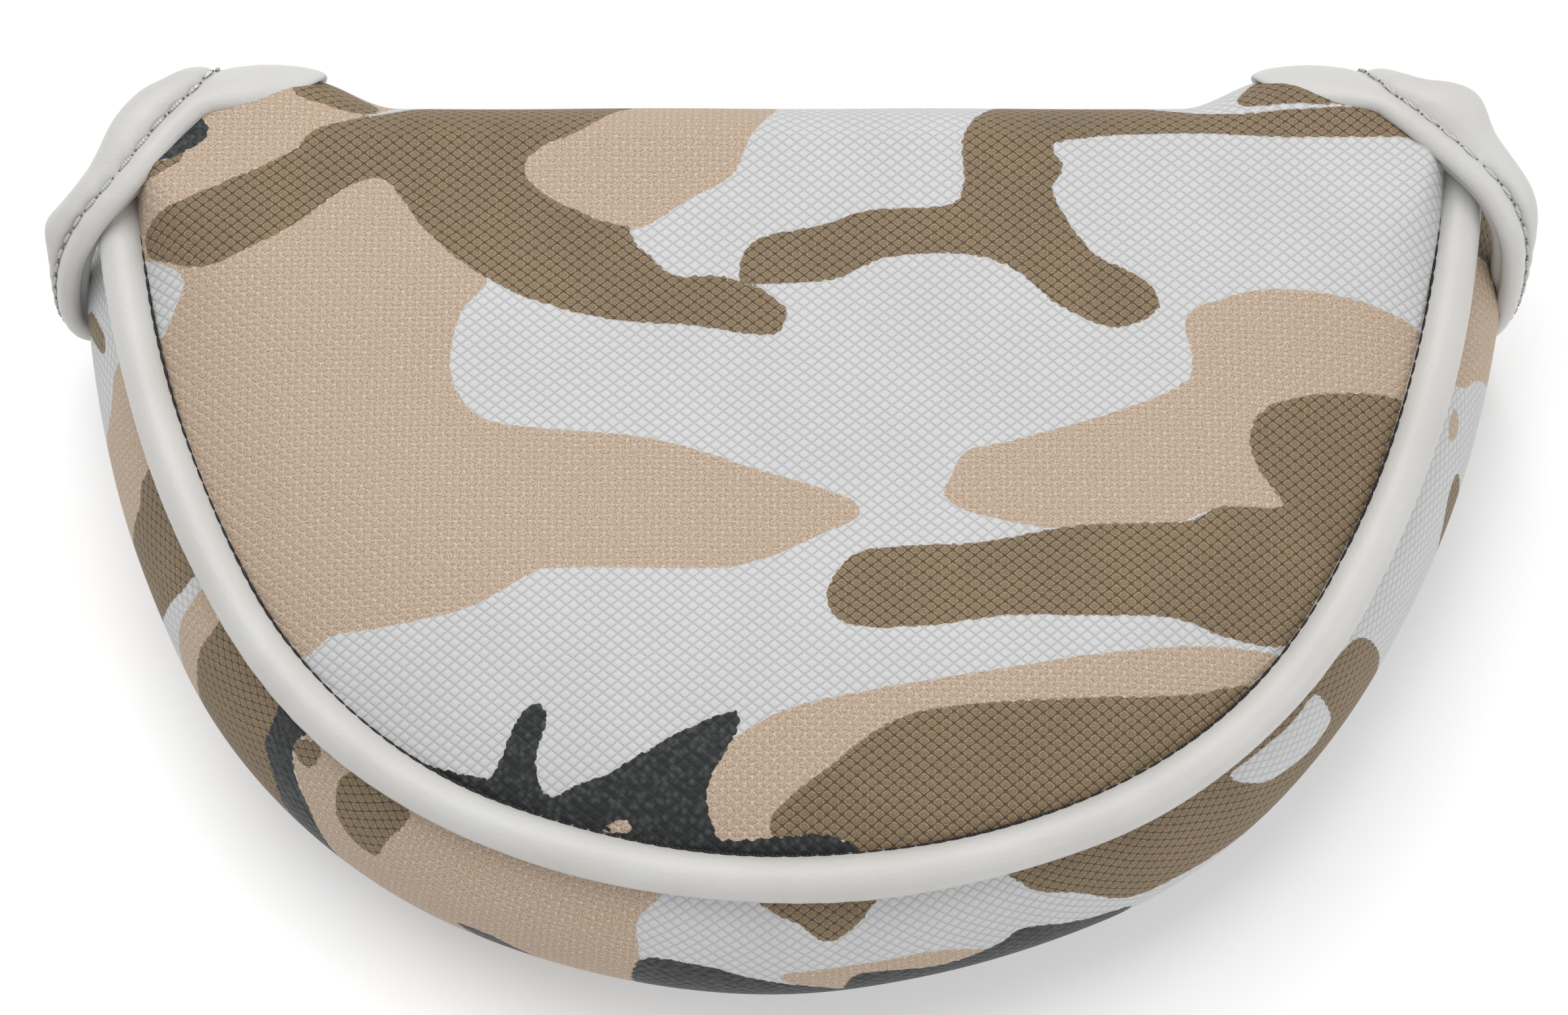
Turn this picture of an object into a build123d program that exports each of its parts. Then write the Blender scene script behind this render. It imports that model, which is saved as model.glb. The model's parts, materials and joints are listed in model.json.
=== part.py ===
from build123d import *

import os
from math import cos, radians, sin, sqrt, tan

# Millimetres. +X runs heel to toe, +Y points to the flat face side, +Z is up.
# The origin is below the middle of the overall box, on the plane the cover rests on.

# Overall size
DEPTH = 86.0
HEIGHT = 36.0
HALF_LENGTH = 72.6

# Plan of the curved seam: three tangent arcs a side, met one after the other from the rear
REAR_RADIUS = 76.0
SHOULDER_RADIUS = 50.0
SIDE_RADIUS = 100.0
REAR_TURN = 22.0
SHOULDER_TURN = 60.0
SIDE_TURN = 90.0

# Piping and the padded side wall between the two seams
PIPING_RADIUS = 2.2
CORD_RADIUS = 1.5
WALL_BULGE = 5.0
WALL_TUCK = 1.0
SEAM_WIDTH = 4.6

# Layers, from outside to inside
SKIN = 1.2
FOAM = 3.0
LINING = 1.3
RIM_FILLET = 5.5

# Flap and lip at the face side
FOLD_RADIUS = 7.0
FLAP_SKIN = 1.1
FLAP_FOAM = 1.4
FLAP_LINING = 0.7
FLAP_GAP = 0.4
FLAP_HEM = 5.0
LIP_TOP = 14.0
FOLD_CLEARANCE = 0.15

# Slanted shaft mouths at the heel and toe, and the collars that bind them
MOUTH_X = 61.0
MOUTH_INSET = 9.1
MOUTH_SLANT = 34.0
COLLAR_WIDTH = 6.5
COLLAR_THICKNESS = 3.2
COLLAR_SKIN = 1.0
COLLAR_STEP = 2.7
COLLAR_REACH = 23.1
COLLAR_BEND = 12.6
PADDING_SETBACK = 8.0

# Magnets and sewing thread
MAGNET_RADIUS = 3.8
MAGNET_X = 28.0
THREAD = 0.5
THREAD_DEPTH = 0.3
THREAD_INSET = 1.9
SEAM_THREAD = 0.4
CREASE_DEPTH = 1.7

# Worked out from the sizes above
FACE_LIMIT = DEPTH / 2
FACE_Y = FACE_LIMIT - COLLAR_STEP
FOLD_Y = FACE_Y - FOLD_RADIUS
REAR_Y = WALL_BULGE - DEPTH / 2
MOUTH_Y = FACE_LIMIT - MOUTH_INSET
FLAP_THICKNESS = FLAP_SKIN + FLAP_FOAM + FLAP_LINING
LIP_Y = FACE_Y - FLAP_THICKNESS - FLAP_GAP
BASE_GAP = 0.3
LOW_SEAM = PIPING_RADIUS + BASE_GAP
HIGH_SEAM = HEIGHT - 6.5
WALL_LOW = LOW_SEAM + PIPING_RADIUS
WALL_HIGH = HIGH_SEAM - PIPING_RADIUS
WALL_MIDDLE = (WALL_LOW + WALL_HIGH) / 2
PANEL_INSET = 2 * PIPING_RADIUS
CORE_INSET = PANEL_INSET + SEAM_WIDTH
MAGNET_Z = (FLAP_HEM + LIP_TOP) / 2
FAR = 2 * DEPTH


def turned(centre, radius, turn):
    """The plan point on an arc, at a turn from straight back."""
    return centre[0] + radius * sin(radians(turn)), centre[1] - radius * cos(radians(turn))


REAR_CENTRE = (0, REAR_Y + REAR_RADIUS)
SHOULDER_CENTRE = turned(REAR_CENTRE, REAR_RADIUS - SHOULDER_RADIUS, REAR_TURN)
SIDE_CENTRE = turned(SHOULDER_CENTRE, SHOULDER_RADIUS - SIDE_RADIUS, SHOULDER_TURN)


def mirrored_point(point):
    return -point[0], point[1]


def curved_edge(inset=0.0):
    """The curved seam in plan, from the toe end round the rear to the heel end."""
    side = [turned(SIDE_CENTRE, SIDE_RADIUS - inset, turn)
            for turn in (SIDE_TURN, (SIDE_TURN + SHOULDER_TURN) / 2, SHOULDER_TURN)]
    shoulder = [turned(SHOULDER_CENTRE, SHOULDER_RADIUS - inset, turn)
                for turn in (SHOULDER_TURN, (SHOULDER_TURN + REAR_TURN) / 2, REAR_TURN)]
    rear = [turned(REAR_CENTRE, REAR_RADIUS - inset, turn) for turn in (REAR_TURN, 0, -REAR_TURN)]
    toe_half = [ThreePointArc(*side), ThreePointArc(*shoulder)]
    heel_half = [ThreePointArc(*map(mirrored_point, reversed(arc))) for arc in (shoulder, side)]
    return toe_half + [ThreePointArc(*rear)] + heel_half


def plan_prism(inset, low, high):
    """A block over the plan, inset from the curved seam and running on past the face side."""
    edges = curved_edge(inset)
    toe_end = edges[0] @ 0
    heel_end = edges[-1] @ 1
    past_face = Polyline(heel_end, (heel_end.X, FAR), (toe_end.X, FAR), toe_end)
    outline = make_face(edges + past_face.edges())
    return Pos(0, 0, low) * extrude(outline, high - low)


def rim_edges(solid, level):
    """The curved edges of a block's rim at one height."""
    return [edge for edge in solid.edges().filter_by(GeomType.CIRCLE)
            if abs(edge.center().Z - level) < 1e-6]


def corner_block(outward=0.0):
    """Everything between the two slanted mouth planes, each moved outward."""
    slope = tan(radians(MOUTH_SLANT))
    reach = outward / cos(radians(MOUTH_SLANT))
    near = MOUTH_X + reach + (FAR + MOUTH_Y) * slope
    far = MOUTH_X + reach - (DEPTH - MOUTH_Y) * slope
    outline = Polyline((-near, -FAR), (near, -FAR), (far, DEPTH), (-far, DEPTH), close=True)
    return extrude(make_face(outline), 2 * HEIGHT, both=True)


def behind(y):
    """Everything on the rear side of a plane across the cover."""
    return Pos(0, y - FAR, 0) * Box(2 * FAR, 2 * FAR, 2 * FAR)


def across(outline, half_length=FAR):
    """A length-wise solid from an outline given as (y, z)."""
    return extrude(Plane.YZ * make_face(outline), half_length, both=True)


def along_seam(section):
    """A section, given as (outward, up), carried round the curved seam."""
    path = Wire(curved_edge())
    start = Plane(origin=path @ 0, x_dir=(1, 0, 0), z_dir=path % 0)
    return sweep(start * section, path=path) & corner_block()


# Top and bottom panels

def crowned(inset, high, fillet_radius):
    block = plan_prism(inset, HIGH_SEAM, high)
    return fillet(rim_edges(block, high), fillet_radius)


def top_layers():
    """Outer skin, foam and lining over the putter head, up to the fold."""
    outer = crowned(PANEL_INSET, HEIGHT, RIM_FILLET)
    under_skin = crowned(PANEL_INSET + SKIN, HEIGHT - SKIN, RIM_FILLET - SKIN)
    lining_top = HEIGHT - SKIN - FOAM
    hollow = plan_prism(CORE_INSET, HIGH_SEAM - SEAM_WIDTH, lining_top)
    lining = plan_prism(CORE_INSET, lining_top - LINING, lining_top)
    keep = corner_block() & behind(FOLD_Y - FOLD_CLEARANCE)
    return {
        "top_panel": (outer - under_skin) & keep,
        "top_foam": (under_skin - hollow) & keep,
        "top_lining": lining & keep,
    }


def bottom_layers():
    """Outer skin with its doubled rim, foam and lining, up to the lip."""
    rim = plan_prism(PANEL_INSET, 0, LOW_SEAM)
    rim = fillet(rim_edges(rim, 0), LOW_SEAM - SKIN / 2)
    foam = plan_prism(CORE_INSET, SKIN, SKIN + FOAM)
    lining = plan_prism(CORE_INSET, SKIN + FOAM, SKIN + FOAM + LINING)
    keep = corner_block()
    return {
        "bottom_panel": (rim - foam) & keep & behind(LIP_Y - FLAP_SKIN),
        "bottom_foam": foam & keep & behind(LIP_Y - FLAP_SKIN - FLAP_FOAM),
        "bottom_lining": lining & keep & behind(LIP_Y - FLAP_THICKNESS),
    }


# Side wall and piping

def wall_layer(outside, inside):
    """One layer of the wall, between two depths below its bulging outer face."""
    def face_line(depth):
        low = (-WALL_TUCK - depth, WALL_LOW)
        middle = (WALL_BULGE - depth, WALL_MIDDLE)
        high = (-WALL_TUCK - depth, WALL_HIGH)
        return ThreePointArc(low, middle, high)

    outer = face_line(outside)
    inner = face_line(inside)
    ends = [Line(outer @ 1, inner @ 1), Line(inner @ 0, outer @ 0)]
    return along_seam(make_face([outer, inner] + ends))


def wall_layers():
    keep = behind(LIP_Y - FLAP_THICKNESS)
    set_back = keep & corner_block(-PADDING_SETBACK)
    return {
        "gusset": wall_layer(0, SKIN) & keep,
        "gusset_foam": wall_layer(SKIN, SKIN + FOAM) & set_back,
        "gusset_lining": wall_layer(SKIN + FOAM, SKIN + FOAM + LINING) & set_back,
    }


def piping(level):
    """A cord and the sleeve that covers it, at one seam."""
    centre = Pos(-PIPING_RADIUS, level)
    cord = along_seam(centre * Circle(CORD_RADIUS))
    sleeve = along_seam(centre * Circle(PIPING_RADIUS)) - cord
    return sleeve, cord


def seam_parts():
    """Piping, inner seam tape and sewing thread of the top and bottom seams."""
    parts = {}
    tape_middle = -PANEL_INSET - SEAM_WIDTH / 2
    for name, level, side, tape_end in (
        ("top", HIGH_SEAM, 1, FOLD_Y - FOLD_CLEARANCE),
        ("bottom", LOW_SEAM, -1, LIP_Y - FLAP_THICKNESS),
    ):
        parts[name + "_piping"], parts[name + "_piping_cord"] = piping(level)
        tape = Pos(tape_middle, level - side * PIPING_RADIUS / 2) * Rectangle(SEAM_WIDTH, PIPING_RADIUS)
        parts[name + "_seam_tape"] = along_seam(tape) & behind(tape_end)
    thread_middle = THREAD / 2 - PANEL_INSET
    thread = Pos(thread_middle, HIGH_SEAM + CREASE_DEPTH) * Rectangle(SEAM_THREAD, SEAM_THREAD)
    parts["top_seam_thread"] = along_seam(thread)
    return parts


# Face flap, which folds down from the top panel, and the lip that stands behind it

def flap_line(depth, hem):
    """The flap's profile at a depth below its outer face, from the fold down to the hem."""
    radius = FOLD_RADIUS - depth
    centre_z = HEIGHT - FOLD_RADIUS
    start = (FOLD_Y, centre_z + radius)
    middle = (FOLD_Y + radius * sqrt(0.5), centre_z + radius * sqrt(0.5))
    bottom = (FOLD_Y + radius, centre_z)
    return [ThreePointArc(start, middle, bottom), Line(bottom, (FOLD_Y + radius, hem))]


def flap_profile(outside, inside, hem=FLAP_HEM):
    outer = flap_line(outside, hem)
    inner = flap_line(inside, hem)
    ends = [Line(outer[0] @ 0, inner[0] @ 0), Line(outer[1] @ 1, inner[1] @ 1)]
    return outer + inner + ends


def magnet(x, outer_y):
    """A disc standing on edge, its outer side at a given y."""
    disc = Cylinder(MAGNET_RADIUS, FLAP_FOAM, align=(Align.CENTER, Align.CENTER, Align.MAX))
    return Pos(x, outer_y, MAGNET_Z) * Rot(-90, 0, 0) * disc


def flap_parts():
    """Skin, foam, lining, magnets and hem thread of the flap, between the two mouths."""
    past_fold = Pos(0, FOLD_Y + FOLD_CLEARANCE + FAR, 0) * Box(2 * FAR, 2 * FAR, 2 * FAR)
    keep = corner_block() & past_fold
    skin = across(flap_profile(0, FLAP_SKIN)) & keep
    foam = across(flap_profile(FLAP_SKIN, FLAP_SKIN + FLAP_FOAM)) & keep
    lining = across(flap_profile(FLAP_SKIN + FLAP_FOAM, FLAP_THICKNESS)) & keep
    hem_thread = Pos(0, FACE_Y - THREAD_DEPTH / 2, FLAP_HEM + THREAD_INSET)
    hem_thread *= Box(2 * (MOUTH_X - COLLAR_WIDTH - THREAD_INSET), THREAD_DEPTH, THREAD)
    left_magnet, right_magnet = [magnet(x, FACE_Y - FLAP_SKIN) for x in (-MAGNET_X, MAGNET_X)]
    return {
        "flap_panel": skin - hem_thread,
        "flap_foam": foam - left_magnet - right_magnet,
        "flap_lining": lining,
        "flap_hem_thread": hem_thread,
        "flap_magnet_left": left_magnet,
        "flap_magnet_right": right_magnet,
    }


def lip_parts():
    """Skin, stiffener, lining and magnets of the upstand behind the flap."""
    def upstand(outer_y, thickness, low):
        outline = Polyline((outer_y, low), (outer_y, LIP_TOP), (outer_y - thickness, LIP_TOP),
                           (outer_y - thickness, low), close=True)
        return across(outline) & corner_block()

    stiffener_y = LIP_Y - FLAP_SKIN
    lining_y = stiffener_y - FLAP_FOAM
    left_magnet, right_magnet = [magnet(x, stiffener_y) for x in (-MAGNET_X, MAGNET_X)]
    return {
        "front_lip": upstand(LIP_Y, FLAP_SKIN, BASE_GAP),
        "lip_stiffener": upstand(stiffener_y, FLAP_FOAM, SKIN + FOAM) - left_magnet - right_magnet,
        "lip_lining": upstand(lining_y, FLAP_LINING, SKIN + FOAM),
        "lip_magnet_left": left_magnet,
        "lip_magnet_right": right_magnet,
    }


# Collars round the shaft mouths

def collar_outline(skin):
    """The collar's C in side view, inset by a skin thickness: fold, side, base, lip."""
    fold_end = FOLD_Y - FOLD_CLEARANCE
    bend_y = FACE_LIMIT - COLLAR_BEND
    side_y = FACE_LIMIT - COLLAR_REACH
    middle = (HEIGHT + BASE_GAP) / 2

    def loop(depth):
        high = HEIGHT - depth
        low = BASE_GAP + depth
        bow = ThreePointArc((bend_y, high), (side_y + depth, middle), (bend_y, low))
        return high, low, bow

    high, low, outer_bow = loop(skin)
    inner_high, inner_low, inner_bow = loop(COLLAR_THICKNESS - skin)
    lip_outer = LIP_Y - skin
    lip_inner = LIP_Y - COLLAR_THICKNESS + skin
    fold_run = Polyline((bend_y, inner_high), (fold_end, inner_high), (fold_end, high), (bend_y, high))
    lip_run = Polyline((bend_y, low), (lip_outer, low), (lip_outer, LIP_TOP), (lip_inner, LIP_TOP),
                       (lip_inner, inner_low), (bend_y, inner_low))
    return [outer_bow, inner_bow] + fold_run.edges() + lip_run.edges()


def binding_outline(skin):
    """The flap's edge binding in side view, proud of the flap's face."""
    outer_y = FACE_LIMIT - skin
    inner_y = FACE_Y - FLAP_THICKNESS + skin
    radius = FOLD_RADIUS + COLLAR_STEP / 2 - skin
    inner_radius = FOLD_RADIUS - FLAP_THICKNESS + skin
    high = HEIGHT - skin
    start_y = FOLD_Y + FOLD_CLEARANCE
    turn_y = outer_y - radius
    inner_turn_y = inner_y - inner_radius
    inner_turn_z = HEIGHT - FOLD_RADIUS
    bend = radius * (1 - sqrt(0.5))
    inner_bend = inner_radius * sqrt(0.5)
    outer_arc = ThreePointArc((turn_y, high), (outer_y - bend, high - bend), (outer_y, high - radius))
    inner_arc = ThreePointArc(
        (inner_y, inner_turn_z),
        (inner_turn_y + inner_bend, inner_turn_z + inner_bend),
        (start_y, inner_turn_z + sqrt(inner_radius**2 - (start_y - inner_turn_y) ** 2)),
    )
    start = Polyline(inner_arc @ 1, (start_y, high), (turn_y, high))
    hem = Polyline((outer_y, high - radius), (outer_y, FLAP_HEM), (inner_y, FLAP_HEM), (inner_y, inner_turn_z))
    return [outer_arc, inner_arc] + start.edges() + hem.edges()


def bound_edge(outline, thread_line):
    """Skin, padding and sewing thread of one binding at the toe mouth."""
    def slab(first, last, length_cut):
        block = corner_block(last) - corner_block(first)
        toe_side = Pos(HALF_LENGTH / 2 - length_cut / 2, 0, 0) * Box(HALF_LENGTH - length_cut, FAR, FAR)
        return block & toe_side

    whole = across(outline(0)) & slab(0, COLLAR_WIDTH, 0)
    core = across(outline(COLLAR_SKIN)) & slab(COLLAR_SKIN, COLLAR_WIDTH - COLLAR_SKIN, COLLAR_SKIN)
    thread_slab = slab(THREAD_INSET, THREAD_INSET + THREAD, 0)
    thread = (across(outline(0)) - across(outline(THREAD_DEPTH))) & thread_slab & thread_line
    return whole - core - thread, core, thread


def mouth_parts():
    """The collar on the cover and the binding on the flap, for both mouths."""
    above_seam = Pos(0, 0, WALL_LOW + FAR) * Box(2 * FAR, 2 * FAR, 2 * FAR)
    collar_thread = above_seam & behind(LIP_Y - COLLAR_THICKNESS - THREAD)
    binding_thread = Pos(0, LIP_Y + COLLAR_THICKNESS + FLAP_GAP + FAR, 0) * Box(2 * FAR, 2 * FAR, 2 * FAR)
    parts = {}
    for name, outline, thread_line in (
        ("collar", collar_outline, collar_thread),
        ("flap_binding", binding_outline, binding_thread),
    ):
        for layer, solid in zip(("", "_padding", "_thread"), bound_edge(outline, thread_line)):
            parts[name + "_right" + layer] = solid
            parts[name + "_left" + layer] = mirror(solid, Plane.YZ)
    return parts


def main():
    os.makedirs("parts", exist_ok=True)
    for parts in (top_layers(), bottom_layers(), wall_layers(), seam_parts(),
                  flap_parts(), lip_parts(), mouth_parts()):
        for name, shape in parts.items():
            export_step(shape, f"parts/{name}.step")
    print("fold hinge, metres:", FOLD_Y / 1000, HEIGHT / 1000)


main()
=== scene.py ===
import json
import math

import bmesh
import bpy
import numpy as np
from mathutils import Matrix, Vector


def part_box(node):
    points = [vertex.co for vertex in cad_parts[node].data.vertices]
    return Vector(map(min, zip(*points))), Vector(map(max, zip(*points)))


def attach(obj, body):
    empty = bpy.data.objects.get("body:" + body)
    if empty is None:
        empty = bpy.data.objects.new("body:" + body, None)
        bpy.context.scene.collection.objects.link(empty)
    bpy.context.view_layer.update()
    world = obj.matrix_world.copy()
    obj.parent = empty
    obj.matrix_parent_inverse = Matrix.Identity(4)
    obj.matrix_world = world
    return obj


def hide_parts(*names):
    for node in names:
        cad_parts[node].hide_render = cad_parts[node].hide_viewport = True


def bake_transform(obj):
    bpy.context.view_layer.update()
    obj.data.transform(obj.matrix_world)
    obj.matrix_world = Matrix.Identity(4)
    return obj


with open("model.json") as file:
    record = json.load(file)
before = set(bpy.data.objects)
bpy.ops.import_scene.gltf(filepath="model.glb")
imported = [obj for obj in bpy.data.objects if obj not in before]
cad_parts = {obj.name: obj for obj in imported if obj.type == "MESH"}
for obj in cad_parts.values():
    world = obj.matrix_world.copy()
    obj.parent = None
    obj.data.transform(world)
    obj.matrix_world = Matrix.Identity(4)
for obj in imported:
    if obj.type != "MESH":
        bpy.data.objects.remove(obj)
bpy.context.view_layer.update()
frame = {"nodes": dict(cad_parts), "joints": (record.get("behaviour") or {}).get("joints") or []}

# Lengths below are millimetres in the CAD frame: +X to the toe, +Y to the flap's face, +Z up.
MM = 0.001


def cad(node, corner, axis):
    """One coordinate of a CAD node's box: corner 0 is the lowest and 1 the highest."""
    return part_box(node)[corner][axis] / MM


# Taken from the frame
HEIGHT = cad("top_panel", 1, 2)
FOLD_Y = frame["joints"][0]["pos_m"][1] / MM
FACE_Y = cad("flap_panel", 1, 1)
FACE_LIMIT = cad("flap_binding_right", 1, 1)
LIP_Y = cad("front_lip", 1, 1)
LIP_TOP = cad("front_lip", 1, 2)
PIPE_RADIUS = (cad("top_piping", 1, 2) - cad("top_piping", 0, 2)) / 2
HIGH_SEAM = (cad("top_piping", 1, 2) + cad("top_piping", 0, 2)) / 2
LOW_SEAM = (cad("bottom_piping", 1, 2) + cad("bottom_piping", 0, 2)) / 2
REAR_Y = cad("top_piping", 0, 1)
WALL_BULGE = REAR_Y - cad("gusset", 0, 1)
WALL_LOW = cad("gusset", 0, 2)
WALL_HIGH = cad("gusset", 1, 2)
WALL_MIDDLE = (WALL_LOW + WALL_HIGH) / 2
WALL_HALF = (WALL_HIGH - WALL_LOW) / 2
HALF_LENGTH = cad("collar_right", 1, 0)

# Plan of the curved seam: tangent arcs from the rear round to the side
RIM_RADII = (76.0, 50.0, 100.0)
RIM_TURNS = (22.0, 60.0, 90.0)

# Slanted shaft mouths
MOUTH_X = 61.0
MOUTH_SETBACK = 9.1
MOUTH_Y = FACE_LIMIT - MOUTH_SETBACK
MOUTH_SLANT = math.radians(34.0)
MOUTH_OUT = np.array([math.cos(MOUTH_SLANT), math.sin(MOUTH_SLANT), 0.0])
MOUTH_REACH = MOUTH_X * MOUTH_OUT[0] + MOUTH_Y * MOUTH_OUT[1]

# Layers
SKIN = 1.1
FOAM = 3.0
LINING = 1.2
FLAP_FOAM = 1.4
FLAP_LINING = 0.7
WALL_TUCK = 1.0
WALL_OVERLAP = 0.7
PANEL_START = 3.7
PANEL_LOW = HIGH_SEAM + 0.2

# The ends of the skin at the mouths: cut back and tucked down under the collars
EDGE_TRIM = 1.2
EDGE_TUCK = 1.2
EDGE_TUCK_WIDTH = 3.6
PANEL_PAST_MOUTH = 1.6
WALL_PAST_MOUTH = 2.6
PIPE_PAST_MOUTH = 1.4

# Grid of the large panels
COLUMNS = 281
PANEL_ROWS = 96
FLAP_ROWS = 54
WALL_ROWS = 44
PIPE_STEPS = 520
PIPE_SIDES = 28


# Small mathematics

def ramp(value, low, high):
    """0 below low, 1 above high, and smooth between."""
    t = np.clip((value - low) / (high - low), 0.0, 1.0)
    return t * t * (3.0 - 2.0 * t)


def mixed(a, b, weight):
    return a + (b - a) * weight


def spline(points, steps, closed=False):
    """A smooth curve through the points, with that many pieces between each two."""
    points = np.asarray(points, float)
    if closed:
        padded = np.concatenate([points[-1:], points, points[:2]])
    else:
        first = 2 * points[:1] - points[1:2]
        last = 2 * points[-1:] - points[-2:-1]
        padded = np.concatenate([first, points, last])
    t = np.linspace(0, 1, steps, endpoint=False)[:, None]
    curve = []
    for a, b, c, d in zip(padded, padded[1:], padded[2:], padded[3:]):
        bend = (2 * a - 5 * b + 4 * c - d) * t**2 + (3 * b - a - 3 * c + d) * t**3
        curve.append(0.5 * (2 * b + (c - a) * t + bend))
    if not closed:
        curve.append(points[-1:])
    return np.concatenate(curve)


def resampled(curve, pitch):
    """The same open curve with even spacing near pitch, and its length so far at each point."""
    along = np.concatenate([[0], np.cumsum(np.linalg.norm(np.diff(curve, axis=0), axis=1))])
    count = max(2, int(round(along[-1] / pitch)) + 1)
    even = np.linspace(0, along[-1], count)
    return np.stack([np.interp(even, along, axis) for axis in curve.T], axis=1), even


def unit(vectors):
    return vectors / np.linalg.norm(vectors, axis=-1, keepdims=True)


# The plan of the curved seam

def rim_arcs():
    """Radius, centre, last turn and length so far of each arc of the toe half."""
    arcs = []
    x, y, first, length = 0.0, REAR_Y + RIM_RADII[0], 0.0, 0.0
    for index, (radius, last) in enumerate(zip(RIM_RADII, RIM_TURNS)):
        length += radius * math.radians(last - first)
        arcs.append((radius, x, y, last, length))
        if index + 1 < len(RIM_RADII):
            step = radius - RIM_RADII[index + 1]
            x += step * math.sin(math.radians(last))
            y -= step * math.cos(math.radians(last))
        first = last
    return arcs


ARCS = rim_arcs()


def rim(turn, outward=0.0):
    """Plan point on the seam's outer line moved outward; turn is in degrees from the rear."""
    turn, outward = np.broadcast_arrays(np.asarray(turn, float), np.asarray(outward, float))
    size = np.abs(turn)
    angle = np.radians(size)
    picks = [size <= arc[3] for arc in ARCS[:-1]] + [size > ARCS[-2][3]]
    x = np.select(picks, [cx + (r + outward) * np.sin(angle) for r, cx, _, _, _ in ARCS])
    y = np.select(picks, [cy - (r + outward) * np.cos(angle) for r, _, cy, _, _ in ARCS])
    return np.sign(turn) * x, y


def turn_at(length):
    """The turn, in degrees, at a signed distance along the seam from the rear."""
    lengths = [0.0] + [arc[4] for arc in ARCS]
    turns = [0.0] + [arc[3] for arc in ARCS]
    return np.sign(length) * np.interp(np.abs(length), lengths, turns)


def length_at(turn):
    lengths = [0.0] + [arc[4] for arc in ARCS]
    turns = [0.0] + [arc[3] for arc in ARCS]
    return np.sign(turn) * np.interp(np.abs(turn), turns, lengths)


def mouth_turn(outward, beyond=0.0):
    """The turn at which the line at that distance outward meets the slanted mouth."""
    radius, cx, cy, _, _ = ARCS[-1]
    reach = MOUTH_REACH + beyond - cx * MOUTH_OUT[0] - cy * MOUTH_OUT[1]
    return np.degrees(np.arcsin(reach / (radius + outward)) + MOUTH_SLANT)


def mouth_x(y):
    """Where the mouth's trace in plan lies at a given y, on the toe side."""
    return MOUTH_X - (y - MOUTH_Y) * math.tan(MOUTH_SLANT)


def inset(x, y):
    """How far a plan point lies inside the seam's outer line."""
    x = np.abs(x)
    picks = []
    depths = []
    for radius, cx, cy, last, _ in ARCS:
        angle = np.degrees(np.arctan2(x - cx, cy - y))
        picks.append((angle <= last) & (angle > -90))
        depths.append(radius - np.hypot(x - cx, y - cy))
    picks[-1] = np.ones_like(picks[-1])
    return np.select(picks, depths)


# Mesh making

def quads(rows, columns, offset=0, wrap_rows=False, wrap_columns=False):
    """Faces of a grid of points stored row by row."""
    i = np.arange(rows if wrap_rows else rows - 1)[:, None]
    j = np.arange(columns if wrap_columns else columns - 1)[None, :]
    i, j = np.broadcast_arrays(i, j)
    below = (i + 1) % rows
    right = (j + 1) % columns
    corners = [i * columns + j, below * columns + j, below * columns + right, i * columns + right]
    return (np.stack(corners, axis=-1).reshape(-1, 4) + offset).tolist()


def ring(rows, columns):
    """Point numbers round the edge of a grid, in order."""
    top = list(range(columns))
    right = [i * columns + columns - 1 for i in range(1, rows)]
    bottom = [(rows - 1) * columns + j for j in range(columns - 2, -1, -1)]
    left = [i * columns for i in range(rows - 2, 0, -1)]
    return top + right + bottom + left


def make_mesh(name, points, faces, materials, flat=()):
    """A smooth-shaded object; the faces numbered in flat keep flat shading."""
    mesh = bpy.data.meshes.new(name)
    mesh.from_pydata((np.asarray(points) * MM).tolist(), [], faces)
    smooth = np.ones(len(mesh.polygons), bool)
    smooth[list(flat)] = False
    mesh.polygons.foreach_set("use_smooth", smooth)
    sharp = {key for index in flat for key in mesh.polygons[index].edge_keys}
    mesh.edges.foreach_set("use_edge_sharp", [edge.key in sharp for edge in mesh.edges])
    for material in materials:
        mesh.materials.append(material)
    mesh.update()
    piece = bpy.data.objects.new(name, mesh)
    bpy.context.scene.collection.objects.link(piece)
    return piece


def give(piece, name, values):
    """Stores one number or one vector per vertex on the mesh."""
    values = np.asarray(values, np.float32)
    kind, key = ("FLOAT", "value") if values.ndim == 1 else ("FLOAT_VECTOR", "vector")
    attribute = piece.data.attributes.new(name, kind, "POINT")
    attribute.data.foreach_set(key, values.ravel())


def grid_normals(grid, side):
    """Unit normals of a grid of points; side is 1 or -1."""
    along_rows = np.gradient(grid, axis=0)
    along_columns = np.gradient(grid, axis=1)
    return side * unit(np.cross(along_columns, along_rows))


def thick_sheet(name, grid, side, depth, material):
    """A closed sheet with its outer face on the grid and its inner one depth below."""
    rows, columns = grid.shape[:2]
    normals = grid_normals(grid, side)
    inner = grid - normals * np.broadcast_to(depth, grid.shape[:2])[..., None]
    count = rows * columns
    points = np.concatenate([grid.reshape(-1, 3), inner.reshape(-1, 3)])
    outer_faces = quads(rows, columns)
    inner_faces = quads(rows, columns, count)
    edge = ring(rows, columns)
    edge_faces = [[a, b, b + count, a + count] for a, b in zip(edge, edge[1:] + edge[:1])]
    if side > 0:
        outer_faces = [face[::-1] for face in outer_faces]
        edge_faces = [face[::-1] for face in edge_faces]
    else:
        inner_faces = [face[::-1] for face in inner_faces]
    return make_mesh(name, points, outer_faces + edge_faces + inner_faces, [material])


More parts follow.
